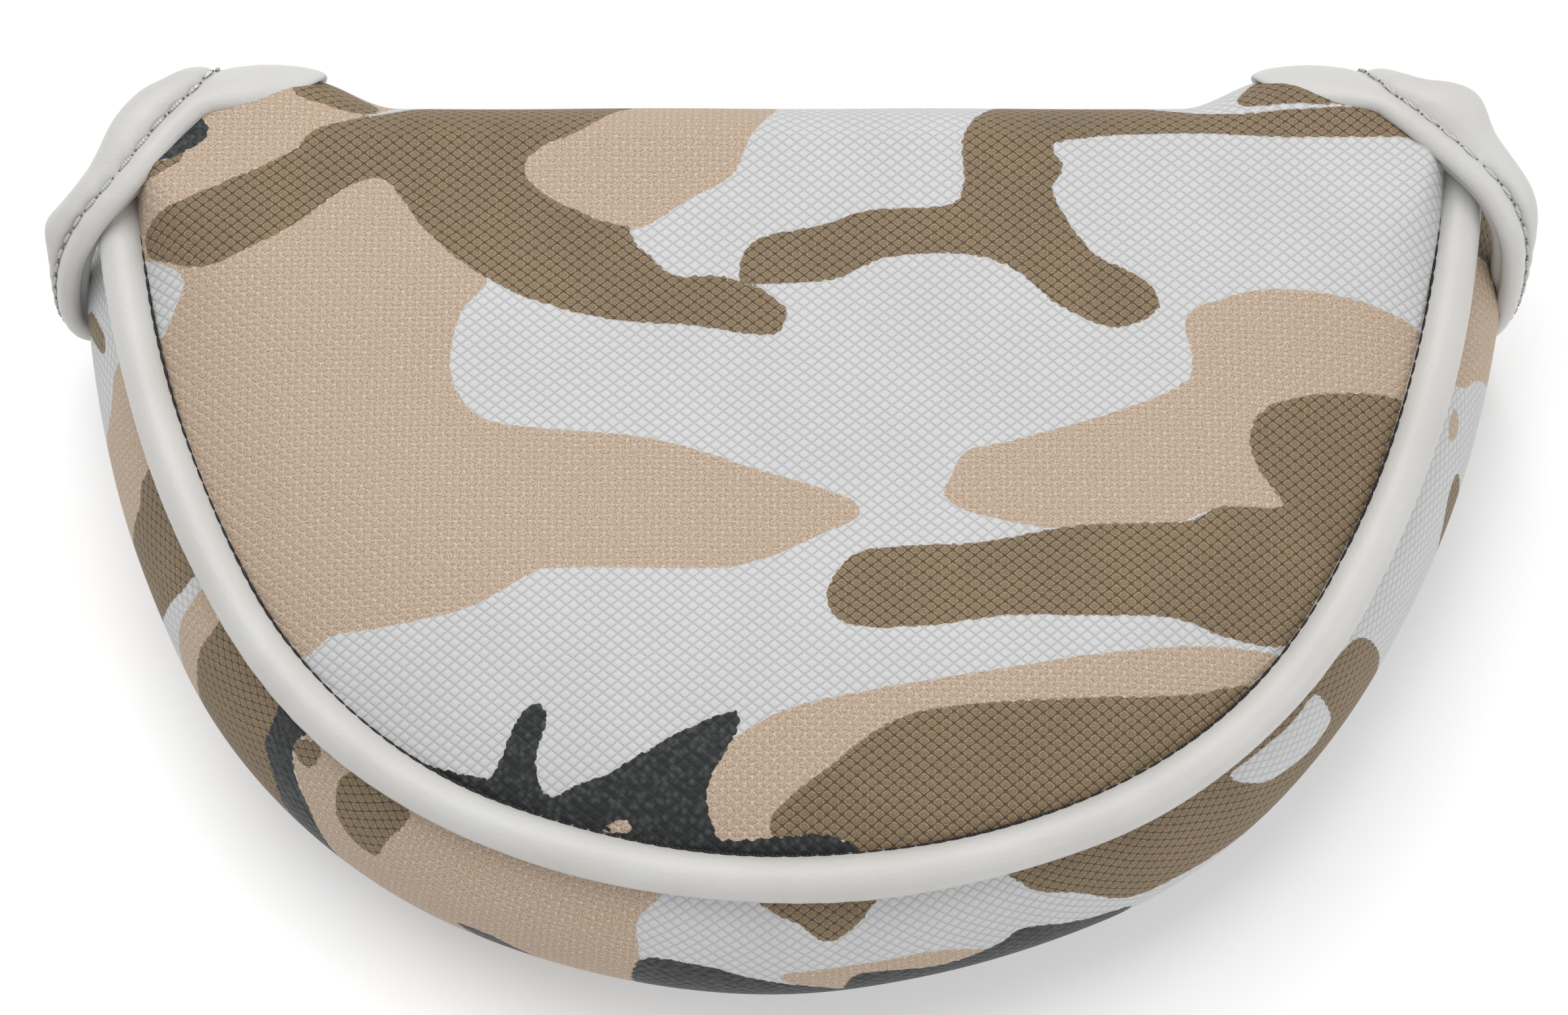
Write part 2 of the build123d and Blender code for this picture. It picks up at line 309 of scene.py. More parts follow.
def tube(name, centres, across, up, sections, material, caps=True):
    """A closed section carried along a line: sections holds (across, up) for each centre."""
    points = centres[:, None] + across[:, None] * sections[..., :1] + up[:, None] * sections[..., 1:]
    rows, columns = sections.shape[:2]
    faces = quads(rows, columns, wrap_columns=True)
    flat = []
    if caps:
        flat = [len(faces), len(faces) + 1]
        faces.append(list(range(columns)))
        faces.append(list(range(rows * columns - 1, (rows - 1) * columns - 1, -1)))
    return make_mesh(name, points.reshape(-1, 3), faces, [material], flat)


def outward_faces(piece):
    """Turns every face of a closed mesh outward."""
    work = bmesh.new()
    work.from_mesh(piece.data)
    bmesh.ops.recalc_face_normals(work, faces=work.faces)
    work.to_mesh(piece.data)
    work.free()


# Material making

def seen(red, green, blue, light=1.26):
    """Surface colour that shows as this sRGB colour under the studio light."""
    def linear(level):
        level /= 255
        return level / 12.92 if level <= 0.04045 else ((level + 0.055) / 1.055) ** 2.4
    return (linear(red) / light, linear(green) / light, linear(blue) / light, 1.0)


class Surface:
    """A node material with short calls for its nodes."""

    def __init__(self, name, **settings):
        self.material = bpy.data.materials.new(name)
        self.material.use_nodes = True
        self.tree = self.material.node_tree
        self.shader = self.tree.nodes["Principled BSDF"]
        for socket, value in settings.items():
            self.shader.inputs[socket.replace("_", " ")].default_value = value

    def put(self, socket, value):
        if isinstance(value, bpy.types.NodeSocket):
            self.tree.links.new(value, socket)
        else:
            socket.default_value = value

    def attribute(self, name, output):
        node = self.tree.nodes.new("ShaderNodeAttribute")
        node.attribute_name = name
        return node.outputs[output]

    def place(self):
        """The rest position of the surface, in metres."""
        return self.tree.nodes.new("ShaderNodeTexCoord").outputs["Object"]

    def math(self, operation, first, second=0.0, third=0.0):
        node = self.tree.nodes.new("ShaderNodeMath")
        node.operation = operation
        for socket, value in zip(node.inputs, (first, second, third)):
            self.put(socket, value)
        return node.outputs[0]

    def dot(self, vector, constant):
        node = self.tree.nodes.new("ShaderNodeVectorMath")
        node.operation = "DOT_PRODUCT"
        self.put(node.inputs[0], vector)
        node.inputs[1].default_value = constant
        return node.outputs["Value"]

    def scaled(self, vector, factors):
        node = self.tree.nodes.new("ShaderNodeVectorMath")
        node.operation = "MULTIPLY"
        self.put(node.inputs[0], vector)
        node.inputs[1].default_value = factors
        return node.outputs[0]

    def noise(self, vector, scale, detail=2.0, roughness=0.5):
        node = self.tree.nodes.new("ShaderNodeTexNoise")
        self.put(node.inputs["Vector"], vector)
        node.inputs["Scale"].default_value = scale
        node.inputs["Detail"].default_value = detail
        node.inputs["Roughness"].default_value = roughness
        return node.outputs["Fac"]

    def cells(self, vector, scale, feature="F1"):
        node = self.tree.nodes.new("ShaderNodeTexVoronoi")
        node.feature = feature
        self.put(node.inputs["Vector"], vector)
        node.inputs["Scale"].default_value = scale
        return node.outputs["Distance"]

    def step(self, value, low, high, start=0.0, end=1.0):
        node = self.tree.nodes.new("ShaderNodeMapRange")
        node.interpolation_type = "SMOOTHSTEP"
        for socket, number in zip(node.inputs, (value, low, high, start, end)):
            self.put(socket, number)
        return node.outputs[0]

    def mix(self, factor, first, second, blend="MIX"):
        node = self.tree.nodes.new("ShaderNodeMix")
        node.data_type = "RGBA"
        node.blend_type = blend
        self.put(node.inputs[0], factor)
        self.put(node.inputs[6], first)
        self.put(node.inputs[7], second)
        return node.outputs[2]

    def shade(self, colour, factor):
        """The colour times a grey factor."""
        node = self.tree.nodes.new("ShaderNodeVectorMath")
        node.operation = "SCALE"
        self.put(node.inputs[0], colour)
        self.put(node.inputs["Scale"], factor)
        return node.outputs[0]

    def bump(self, height, distance, strength=1.0, under=None):
        node = self.tree.nodes.new("ShaderNodeBump")
        node.inputs["Strength"].default_value = strength
        node.inputs["Distance"].default_value = distance * MM
        self.put(node.inputs["Height"], height)
        if under is not None:
            self.put(node.inputs["Normal"], under)
        return node.outputs[0]

    def finish(self, colour, roughness=None, normal=None):
        self.put(self.shader.inputs["Base Color"], colour)
        if roughness is not None:
            self.put(self.shader.inputs["Roughness"], roughness)
        if normal is not None:
            self.put(self.shader.inputs["Normal"], normal)
        return self.material


# Materials

WEAVE = ((0.74, 0.95, 0.0), (-0.74, 0.95, 0.0))


def camo_material():
    """Printed synthetic leather, embossed with rows of small pads; the colour holds painted shade in the
    grooves and painted highlights on the pads and pebbles.
    """
    s = Surface("camo_cloth", Specular_IOR_Level=0.32)
    cloth = s.attribute("cloth", "Vector")
    wander = s.noise(cloth, 0.12, 1.0)
    waves = []
    for direction in WEAVE:
        phase = s.math("MULTIPLY_ADD", wander, 0.5, s.dot(cloth, direction))
        waves.append(s.math("ABSOLUTE", s.math("SINE", s.math("MULTIPLY", phase, math.pi))))
    pad = s.math("POWER", s.math("MULTIPLY", waves[0], waves[1]), 0.5)
    crossing = s.math("MULTIPLY", s.math("SUBTRACT", 1.0, waves[0]), s.math("SUBTRACT", 1.0, waves[1]))
    grain = s.noise(cloth, 7.0, 3.0, 0.6)
    fleck = s.noise(s.scaled(cloth, (3.2, 5.0, 3.2)), 1.0, 2.0)
    cloud = s.noise(cloth, 0.09, 2.0)
    ragged = s.math("MULTIPLY", s.math("SUBTRACT", s.noise(cloth, 1.7, 2.0), 0.5), 0.5)
    ragged = s.math("MULTIPLY_ADD", s.math("SUBTRACT", pad, 0.6), 0.16, ragged)

    def inside(colour, spread):
        """Where a colour shows; spread lets it run under its neighbour by that many millimetres."""
        distance = s.math("ADD", s.attribute(colour, "Fac"), ragged)
        return s.step(distance, -0.06 - spread, 0.06 - spread)

    # Painted shade: the white is darker in the grooves and lighter on the raised pad tops, the shade of
    # the embossed relief; the cloud factor is an uneven tone of the print.
    white = s.shade(s.mix(s.step(pad, 0.1, 0.8), seen(196, 196, 197), seen(214, 214, 215)),
                    s.step(cloud, 0.2, 0.8, 0.97, 1.02))
    tan = s.mix(s.step(grain, 0.32, 0.68), seen(163, 139, 116), seen(216, 195, 173))
    # Painted shade: the tan is darkened in the grooves between the pads.
    tan = s.shade(tan, s.step(pad, 0.0, 0.5, 0.9, 1.0))
    bright = s.math("MULTIPLY", s.step(crossing, 0.2, 0.5), s.step(fleck, 0.38, 0.55))
    tan = s.mix(s.math("MULTIPLY", bright, 0.5), tan, seen(240, 227, 210))
    brown = s.mix(s.step(grain, 0.3, 0.7), seen(116, 97, 72), seen(152, 131, 103))
    # Dark lines along the grooves round the brown pads: partly the print, partly painted shade in the
    # embossed grooves.
    brown = s.mix(s.step(pad, 0.2, 0.52, 0.9, 0.0), brown, seen(78, 66, 48))
    # Painted highlight: a pale ring round each brown pad, broken up by the fleck noise.
    rim_light = s.math("MULTIPLY", s.step(pad, 0.5, 0.58), s.step(pad, 0.72, 0.62))
    rim_highlight = s.math("MULTIPLY", rim_light, s.step(fleck, 0.42, 0.58))
    brown = s.mix(s.math("MULTIPLY", rim_highlight, 0.6), brown, seen(196, 178, 146))
    brown = s.shade(brown, s.step(cloud, 0.25, 0.75, 0.93, 1.07))
    pebble = s.cells(cloth, 1.5)
    # Painted light on the pebbled black: pebble middles lighter as painted highlight, the gaps between
    # them darker as painted shade.
    black = s.mix(s.step(pebble, 0.15, 0.6), seen(66, 69, 70), seen(40, 42, 43))
    colour = s.mix(inside("tan", 0.3), white, tan)
    colour = s.mix(inside("brown", 0.15), colour, brown)
    dark = inside("black", 0.0)
    colour = s.mix(dark, colour, black)
    height = s.math("MULTIPLY_ADD", s.math("SUBTRACT", grain, 0.5), 0.35, pad)
    pebbled = s.math("MULTIPLY", dark, s.math("SUBTRACT", 0.5, pebble))
    height = s.math("MULTIPLY_ADD", pebbled, 0.8, height)
    roughness = s.math("SUBTRACT", s.step(grain, 0.3, 0.7, 0.56, 0.66), s.math("MULTIPLY", dark, 0.12))
    return s.finish(colour, roughness, s.bump(height, 0.11, 0.9))


def leather_material():
    """Smooth warm white synthetic leather with fine grain and faint wrinkles."""
    s = Surface("white_leather", Specular_IOR_Level=0.4, Coat_Weight=0.04, Coat_Roughness=0.45)
    place = s.attribute("cloth", "Vector")
    grain = s.cells(place, 3.4)
    fine = s.noise(place, 6.0, 4.0, 0.6)
    wrinkle = s.noise(s.scaled(place, (0.5, 1.4, 0.5)), 0.8, 3.0)
    tint = s.mix(s.step(s.noise(place, 0.08, 2.0), 0.3, 0.7), seen(207, 205, 201), seen(213, 212, 209))
    colour = s.shade(tint, s.step(fine, 0.25, 0.75, 0.975, 1.01))
    height = s.math("MULTIPLY_ADD", wrinkle, 1.6, s.math("MULTIPLY", fine, 0.35))
    height = s.math("MULTIPLY_ADD", grain, 0.35, height)
    return s.finish(colour, s.step(fine, 0.3, 0.7, 0.38, 0.5), s.bump(height, 0.05, 0.7))


def plush_material():
    """Short dark pile."""
    s = Surface("plush", Roughness=0.95, Specular_IOR_Level=0.1, Sheen_Weight=0.5, Sheen_Roughness=0.4)
    place = s.attribute("cloth", "Vector")
    pile = s.noise(place, 3.5, 4.0, 0.7)
    pile_streaks = s.noise(s.scaled(place, (0.25, 0.6, 0.6)), 0.6, 2.0)
    colour = s.mix(pile, (0.035, 0.036, 0.04, 1), (0.13, 0.131, 0.14, 1))
    # The pile lighter and darker in slow stretched streaks.
    colour = s.shade(colour, s.step(pile_streaks, 0.3, 0.7, 0.75, 1.2))
    return s.finish(colour, None, s.bump(pile, 0.5))


def thread_material(name, dark, pale):
    """Twisted thread: fine slanted plies, with painted shade in the grooves between them."""
    s = Surface(name, Roughness=0.6, Specular_IOR_Level=0.3)
    place = s.scaled(s.place(), (1000.0, 1000.0, 1000.0))
    plies = s.math("SINE", s.dot(place, (14.0, 9.0, 17.0)))
    fuzz = s.noise(place, 9.0, 3.0)
    # Painted shade: the thread darker in the grooves between the plies, lighter on their crests.
    colour = s.mix(s.step(plies, -0.6, 0.6), dark, pale)
    return s.finish(s.shade(colour, s.step(fuzz, 0.2, 0.8, 0.85, 1.1)), None, s.bump(plies, 0.05))


def woven_material(name, dark, pale, pitch, roughness):
    """Plain over-and-under weave with painted shade where the yarn dips under, for tape and for the
    painted shade in a needle hole.
    """
    s = Surface(name, Roughness=roughness, Specular_IOR_Level=0.2)
    place = s.scaled(s.place(), (1000.0, 1000.0, 1000.0))
    warp = s.math("SINE", s.dot(place, (2 * math.pi / pitch, 0.0, math.pi / pitch)))
    weft = s.math("SINE", s.dot(place, (0.0, 2 * math.pi / pitch, -math.pi / pitch)))
    over = s.math("MULTIPLY", warp, weft)
    # Painted shade: the weave darker where the yarn goes under, lighter where it lies over.
    colour = s.mix(s.step(over, -0.7, 0.7), dark, pale)
    colour = s.shade(colour, s.step(s.noise(place, 4.0, 3.0), 0.2, 0.8, 0.85, 1.15))
    return s.finish(colour, None, s.bump(over, 0.08))


def board_material():
    """Dull fibre board, faintly mottled."""
    s = Surface("board", Roughness=0.8, Specular_IOR_Level=0.25)
    place = s.scaled(s.place(), (1000.0, 1000.0, 1000.0))
    fibre = s.noise(s.scaled(place, (0.3, 2.0, 2.0)), 1.2, 4.0)
    colour = s.mix(fibre, (0.05, 0.05, 0.05, 1), (0.12, 0.118, 0.11, 1))
    return s.finish(colour, None, s.bump(fibre, 0.05))


def nickel_material():
    """Nickel plate with fine turning marks and light scuffs."""
    s = Surface("nickel", Metallic=1.0)
    place = s.scaled(s.place(), (1000.0, 1000.0, 1000.0))
    scuffs = s.noise(s.scaled(place, (0.4, 3.0, 0.4)), 2.0, 4.0)
    colour = s.mix(scuffs, (0.55, 0.54, 0.52, 1), (0.75, 0.74, 0.73, 1))
    return s.finish(colour, s.step(scuffs, 0.3, 0.7, 0.16, 0.38), s.bump(scuffs, 0.01))


def floor_material():
    """Pale studio floor."""
    s = Surface("studio_floor", Roughness=0.9, Specular_IOR_Level=0.1)
    mottle = s.noise(s.place(), 6.0, 2.0)
    return s.finish(s.mix(mottle, (0.925, 0.925, 0.925, 1), (0.94, 0.94, 0.94, 1)))


CAMO = camo_material()
LEATHER = leather_material()
PLUSH = plush_material()
THREAD = thread_material("pale_thread", seen(196, 194, 188), seen(232, 231, 227))
# Near-black thread for the crease stitches: the seam's own thread, its dark colour also painted shade
# down in the crease.
CREASE_SHADE_THREAD = thread_material("crease_shade_thread", (0.01, 0.009, 0.009, 1), (0.035, 0.032, 0.032, 1))
# Needle holes: small dark grey capsules at each stitch end, painted shade in the holes.
HOLE_SHADE = woven_material("needle_hole_shade", (0.12, 0.12, 0.12, 1), (0.2, 0.2, 0.2, 1), 0.4, 0.9)
TAPE = woven_material("tape", (0.02, 0.02, 0.022, 1), (0.09, 0.09, 0.1, 1), 0.7, 0.85)
BOARD = board_material()
NICKEL = nickel_material()


# The camouflage print

# The print's distances are kept up to this far from each outline
PRINT_REACH = 6.0
OUTLINE_STEPS = 6


def distance_inside(places, outline):
    """Signed distance of each place from a closed outline, positive inside."""
    low = outline.min(0) - PRINT_REACH
    high = outline.max(0) + PRINT_REACH
    near = np.all((places > low) & (places < high), axis=1)
    found = np.full(len(places), -PRINT_REACH)
    x, y = places[near].T
    best = np.full(len(x), PRINT_REACH**2)
    odd = np.zeros(len(x), bool)
    for (ax, ay), (bx, by) in zip(outline, np.roll(outline, -1, axis=0)):
        dx, dy = bx - ax, by - ay
        t = np.clip(((x - ax) * dx + (y - ay) * dy) / (dx * dx + dy * dy + 1e-12), 0, 1)
        best = np.minimum(best, (x - ax - t * dx) ** 2 + (y - ay - t * dy) ** 2)
        if ay != by:
            odd ^= ((ay > y) != (by > y)) & (x < ax + (y - ay) * dx / dy)
    found[near] = np.where(odd, 1, -1) * np.sqrt(best)
    return found


def paint(piece, cloth, shapes):
    """Lays the shapes on one after another and stores how deep each vertex is in each colour."""
    depth = {colour: np.full(len(cloth), -PRINT_REACH) for colour in ("tan", "brown", "black")}
    for colour, outline in shapes:
        inside = distance_inside(cloth[:, :2], spline(outline, OUTLINE_STEPS, closed=True))
        for other in depth:
            if other == colour:
                depth[other] = np.maximum(depth[other], inside)
            else:
                depth[other] = np.minimum(depth[other], -inside)
    for colour, values in depth.items():
        give(piece, colour, values)
    give(piece, "cloth", cloth)


# Outlines are in cloth millimetres: x and y on the panels, length along and down on the wall.
# Later shapes lie over earlier ones, and white ones clear what is under them.
TOP_PRINT = [
    ("tan", [
        (-66, 24), (-61.5, 24), (-55.5, 27.5), (-47, 31.5), (-44, 34), (-40, 36.5), (-38, 41),
        (-46, 47), (-58, 50), (-70, 44)
    ]),
    ("tan", [
        (-28, 20), (-30.5, 16.5), (-31.5, 13), (-31.5, 10), (-30, 7), (-26.5, 5), (-15, 4),
        (-10, 3), (-4, 1), (6, -2.5), (2.5, -5), (-3.5, -7.5), (-7.5, -8), (-20.5, -8),
        (-23.5, -8.5), (-29, -11.5), (-36.5, -13), (-42, -13.5), (-45.5, -15.5), (-54, -18),
        (-66, 0), (-66, 24), (-51.5, 24), (-38.5, 31), (-31, 24)
    ]),
    ("tan", [
        (37, 15.5), (40, 17), (44.5, 18), (52, 17.5), (60, 15.5), (66, 12), (64, 2), (54, -0.5),
        (45.5, -2.5), (38.5, -2.5), (34.5, -4), (26, -4.5), (17.5, -3), (14.5, -1.5), (15, 0),
        (16.5, 2.5), (21, 3.5), (31, 6.5), (36.5, 9), (37.5, 11.5)
    ]),
    ("tan", [
        (-7, -31), (-7.5, -27.5), (-6.5, -25.5), (-4, -23.5), (0, -21.5), (6.5, -20), (21, -17.5),
        (35, -15.5), (45.5, -15.5), (56, -18), (40, -32), (14, -40), (-1, -38)
    ]),
    ("brown", [
        (-60.5, 24), (-60, 25.5), (-55.5, 27.5), (-47, 31.5), (-44.5, 34), (-40, 36), (-36, 38.5),
        (-30, 44), (-20, 47), (-14, 42), (-15.5, 38), (-15, 24.5), (-13, 21.5), (-10.5, 19.5),
        (-6.5, 19.5), (-2.5, 18), (-0.5, 16.5), (-0.5, 15.5), (-2, 14), (-9.5, 15), (-16.5, 15.5),
        (-24, 17.5), (-29.5, 20.5), (-34, 24.5), (-36.5, 28), (-38.5, 29.5), (-41.5, 28.5),
        (-46, 25), (-49.5, 23), (-54.5, 21), (-59.5, 22.5)
    ]),
    ("tan", [
        (-15.5, 38.5), (-10, 42), (-3, 42), (-1.5, 38.5), (-4, 33.5), (-5.5, 30), (-9.5, 27.5),
        (-15, 24.5), (-21, 26.5), (-24, 28.5), (-25, 30.5), (-23.5, 32.5), (-19.5, 34.5)
    ]),
    ("brown", [
        (19.5, 39), (16.5, 33.5), (16.5, 29), (15, 26.5), (7.5, 26), (3, 24.5), (-2, 23.5),
        (-4, 22), (-4.5, 19.5), (-3.5, 19), (4, 19.5), (8.5, 21.5), (14, 22), (18.5, 21.5),
        (21.5, 20), (25, 17), (29, 15), (31.5, 15), (34, 16.5), (33.5, 18.5), (31.5, 20), (28, 22),
        (25, 26.5), (24.5, 28.5), (25.5, 30.5), (24.5, 32.5), (27.5, 33.5), (36.5, 34),
        (47.5, 33.5), (58, 33.5), (63, 33), (63, 35), (54.5, 36.3), (44, 36), (39, 37), (35, 38.5),
        (30, 42), (22, 43)
    ]),
    ("brown", [
        (58, 9), (52, 9), (46.5, 8), (43.5, 6.5), (42.5, 4), (43.5, 1), (45.5, -2), (39.5, -2.5),
        (36, -4), (26, -4.5), (17.5, -6), (9, -6.5), (5.5, -7.5), (3.5, -11), (5.5, -13.5),
        (12.5, -13.5), (20, -12.5), (28, -12.5), (35, -12.5), (40.5, -14), (46.5, -14), (60, -10),
        (66, 6)
    ]),
    ("brown", [
        (52, -18), (43, -18), (35.5, -19.5), (20.5, -20.5), (12, -21.5), (7.5, -23.5), (3.5, -26.5),
        (0, -29), (-1.5, -32), (4, -38), (30, -38), (48, -30)
    ]),
    ("white", [
        (-64, 23), (-59.5, 22.5), (-56.5, 20.5), (-56.5, 19), (-57.5, 17), (-59.5, 14.5), (-64, 14)
    ]),
    ("black", [
        (-36, -24.5), (-34.5, -25), (-29, -26.5), (-27, -26.5), (-25, -22.5), (-24, -21),
        (-22.5, -20.5), (-22, -22), (-23, -25.5), (-22, -28.5), (-19, -27.5), (-16, -26.5),
        (-10.5, -23.5), (-5.5, -21.5), (-4.5, -22.5), (-7, -27), (-7.5, -29), (-7, -31),
        (-5.5, -32.5), (2.5, -32), (6.5, -33.5), (6, -38), (-20, -38), (-38, -32)
    ]),
    ("tan", [(-17, -31.5), (-15, -30.5), (-14.5, -31.6)]),
    ("brown", [(-57.5, 32), (-57, 31.3), (-58, 30.5), (-60, 29.5), (-61.5, 30), (-60, 32)]),
    ("black", [
        (-55.5, 35.5), (-55, 35), (-54.5, 34), (-55, 33), (-56.5, 32), (-59, 31), (-60, 33),
        (-58, 36)
    ]),
    ("brown", [(-46.5, 38.2), (-43, 37.2), (-40.5, 36.8), (-39, 38), (-41, 41), (-46, 42)]),
    ("brown", [(42.5, 37.7), (49.5, 37), (55, 37), (60, 38), (57, 45), (47, 43)]),
    ("tan", [(2, 52), (10, 48), (24, 49), (33, 54), (26, 60), (12, 58), (4, 60), (-4, 57)]),
    ("brown", [
        (-58, 52), (-46, 50), (-36, 54), (-26, 55), (-16, 60), (-22, 70), (-40, 66), (-56, 64)
    ]),
    ("black", [(30, 62), (38, 60), (44, 64), (58, 66), (58, 74), (34, 74), (20, 70)]),
]
WALL_PRINT = [
    ("tan", [
        (-89.5, 2), (-89.5, 5), (-88, 6.5), (-86.5, 8), (-85, 12), (-84, 20), (-86, 30), (-72, 30),
        (-74, 16), (-76, 9), (-77, 6.5), (-78.5, 4), (-80, -2)
    ]),
    ("brown", [
        (-79, -2), (-78.5, 5), (-77, 6.5), (-76, 9), (-74, 16), (-73, 22), (-68, 22), (-67.5, 12.5),
        (-67.5, 7.5), (-67.5, 4), (-69, -2)
    ]),
    ("tan", [
        (-66, -2), (-65.5, 4), (-65, 7.5), (-64, 10), (-62, 14), (-60, 22), (-56, 22), (-59, 14),
        (-60, 11.5), (-61.5, 7.5), (-62, 4.5), (-61, -2)
    ]),
    ("brown", [
        (-61.5, -2), (-62, 4.5), (-61.5, 7.5), (-60, 11.5), (-59, 14), (-56, 20), (-50, 26),
        (-44, 20), (-46, 15), (-47.5, 13), (-49.5, 9.5), (-51.5, 7), (-52, 4), (-52, -2)
    ]),
    ("tan", [
        (-50, -2), (-49, 4), (-45, 9.5), (-41, 15), (-34, 24), (-18, 24), (-12.5, 15), (-13.5, 8),
        (-14, 4.5), (-14, -2)
    ]),
    ("black", [
        (-53, -1), (-52, 4), (-51.5, 7), (-49.5, 9.5), (-47.5, 13), (-45, 17), (-40, 21), (-38, 20),
        (-41, 15), (-43, 12), (-45, 9.5), (-47.5, 7), (-49, 4), (-48.5, -1)
    ]),
    ("brown", [(-43.5, 3), (-42.5, 7), (-40.5, 8.5), (-38, 8.5), (-37.5, 6), (-36.5, 2), (-40, 0)]),
    ("brown", [(-49.2, 3.6), (-47.8, 5), (-46.6, 4.2), (-47, 2)]),
    ("black", [(-29.5, 12.5), (-26, 12.3), (-22, 15), (-18, 19), (-22, 18.5), (-27, 15)]),
    ("brown", [(-2.5, 1), (-1.5, 2.5), (1, 3.7), (3, 5.5), (5, 5), (7, 3), (7.5, 1)]),
    ("black", [
        (-13, 9), (-7.5, 8.7), (-3.5, 10), (2.5, 12), (5.5, 14), (6, 19), (-2, 19), (-8, 17),
        (-13, 16)
    ]),
    ("tan", [
        (-0.5, 9.8), (6.5, 9), (13.5, 9), (18, 11.5), (12, 11), (6, 10.5), (5.5, 14), (2.5, 11.8)
    ]),
    ("black", [
        (5.5, 10.5), (13.5, 11.3), (18.5, 10), (21, 8.7), (26, 11), (31, 13), (27.5, 16), (20, 17),
        (12, 19), (5.5, 19)
    ]),
    ("brown", [
        (20.5, 0), (21.5, 3), (23, 4.5), (26.5, 6.5), (31, 10.5), (35.5, 11.5), (40, 12.5),
        (47, 14), (54, 15), (58, 20), (62, 12), (61.5, 4.5), (57.5, 2.5), (52, 0), (36, -1)
    ]),
    ("white", [
        (43, 3), (47, 3), (51, 3.5), (54.5, 3.5), (55, 6.5), (54.5, 9), (52, 9.7), (48.5, 8.7),
        (45.5, 7)
    ]),
    ("brown", [(81, 9.5), (79.5, 9), (77.5, 10), (75, 13), (75, 20), (79, 22), (80, 14)]),
    ("tan", [(85.5, 4.2), (84, 4.2), (83, 5), (84, 5.8)]),
    ("tan", [
        (88, 2), (88.5, 5), (90, 7), (91, 11.5), (93, 20), (100, 24), (103, 12), (100, 6),
        (102, -2), (90, -2)
    ]),
    ("brown", [
        (101, -1), (101, 4.5), (100, 6), (98.5, 9), (97, 14), (99, 20), (106, 22), (106, 0)
    ]),
    ("brown", [
        (-97.5, 12.5), (-97, 9), (-95, 7), (-93.5, 6.2), (-92.3, 7), (-93.5, 8.5), (-95.5, 11),
        (-97, 15)
    ]),
]
BASE_PRINT = [
    ("tan", [(-60, 30), (-40, 34), (-22, 22), (-30, 8), (-48, 4), (-62, 14)]),
    ("brown", [(-52, -4), (-38, 0), (-20, -6), (-4, -2), (-8, -14), (-28, -16), (-44, -12)]),
    ("tan", [(4, 22), (22, 16), (40, 20), (60, 12), (54, -4), (34, 2), (14, -2), (0, 8)]),
    ("brown", [(10, 36), (24, 30), (44, 34), (62, 30), (60, 24), (38, 26), (16, 26)]),
    ("black", [(-18, -28), (-4, -22), (8, -26), (20, -20), (30, -24), (14, -34), (-8, -36)]),
    ("brown", [(26, -8), (40, -6), (50, -14), (40, -20), (28, -16)]),
    ("brown", [(-24, 38), (-12, 36), (-2, 42), (-10, 52), (-26, 50)]),
    ("tan", [(20, 40), (36, 38), (50, 44), (40, 54), (24, 50)]),
]


# Top panel and flap

# The dome's rise: how wide it is along the rear and near the mouths, and how quickly it flattens
DOME_WIDTH = 25.0
CORNER_WIDTH = 3.4
DOME_POWER = 2.8
# Sections (y, z) of the skin over the fold, at its middle and its ends, and where one becomes the other
FOLD_MIDDLE = [(33.3, 35.75), (35.9, 34.2), (38.0, 31.0), (39.6, 25.0), (40.3, 17.0), (40.3, 5.0)]
FOLD_CORNER = [(33.3, 36.0), (38.3, 35.3), (40.9, 31.8), (41.3, 26.0), (41.2, 17.0), (41.1, 5.0)]
FLARE_STARTS = 39.5
FLARE_ENDS = 51
PANEL_SWELL = 0.16
WALL_SWELL = 0.18


def swell(x, y, size):
    """Slow uneven waves of the padding under the skin."""
    return size * (np.sin(x / 7.3 + y / 11.0) * np.sin(y / 6.1 - x / 17.0 + 1.0)
                   + 0.6 * np.sin(x / 4.1 - y / 9.7 + 2.0) * np.sin(y / 5.3 + 0.5))


def dome_height(x, y):
    """The padded top: steep from under the piping, then almost flat."""
    corner = ramp(y, 6, 32) * ramp(np.abs(x), 34, 60)
    width = mixed(DOME_WIDTH, CORNER_WIDTH, corner)
    rise = np.clip((inset(x, y) - PANEL_START) / width, 0, 1)
    ease = 0.25 * ramp(y, 12, FOLD_Y) * (1 - ramp(np.abs(x), 36, 56))
    return PANEL_LOW + (HEIGHT - PANEL_LOW) * (1 - (1 - rise) ** DOME_POWER) - ease


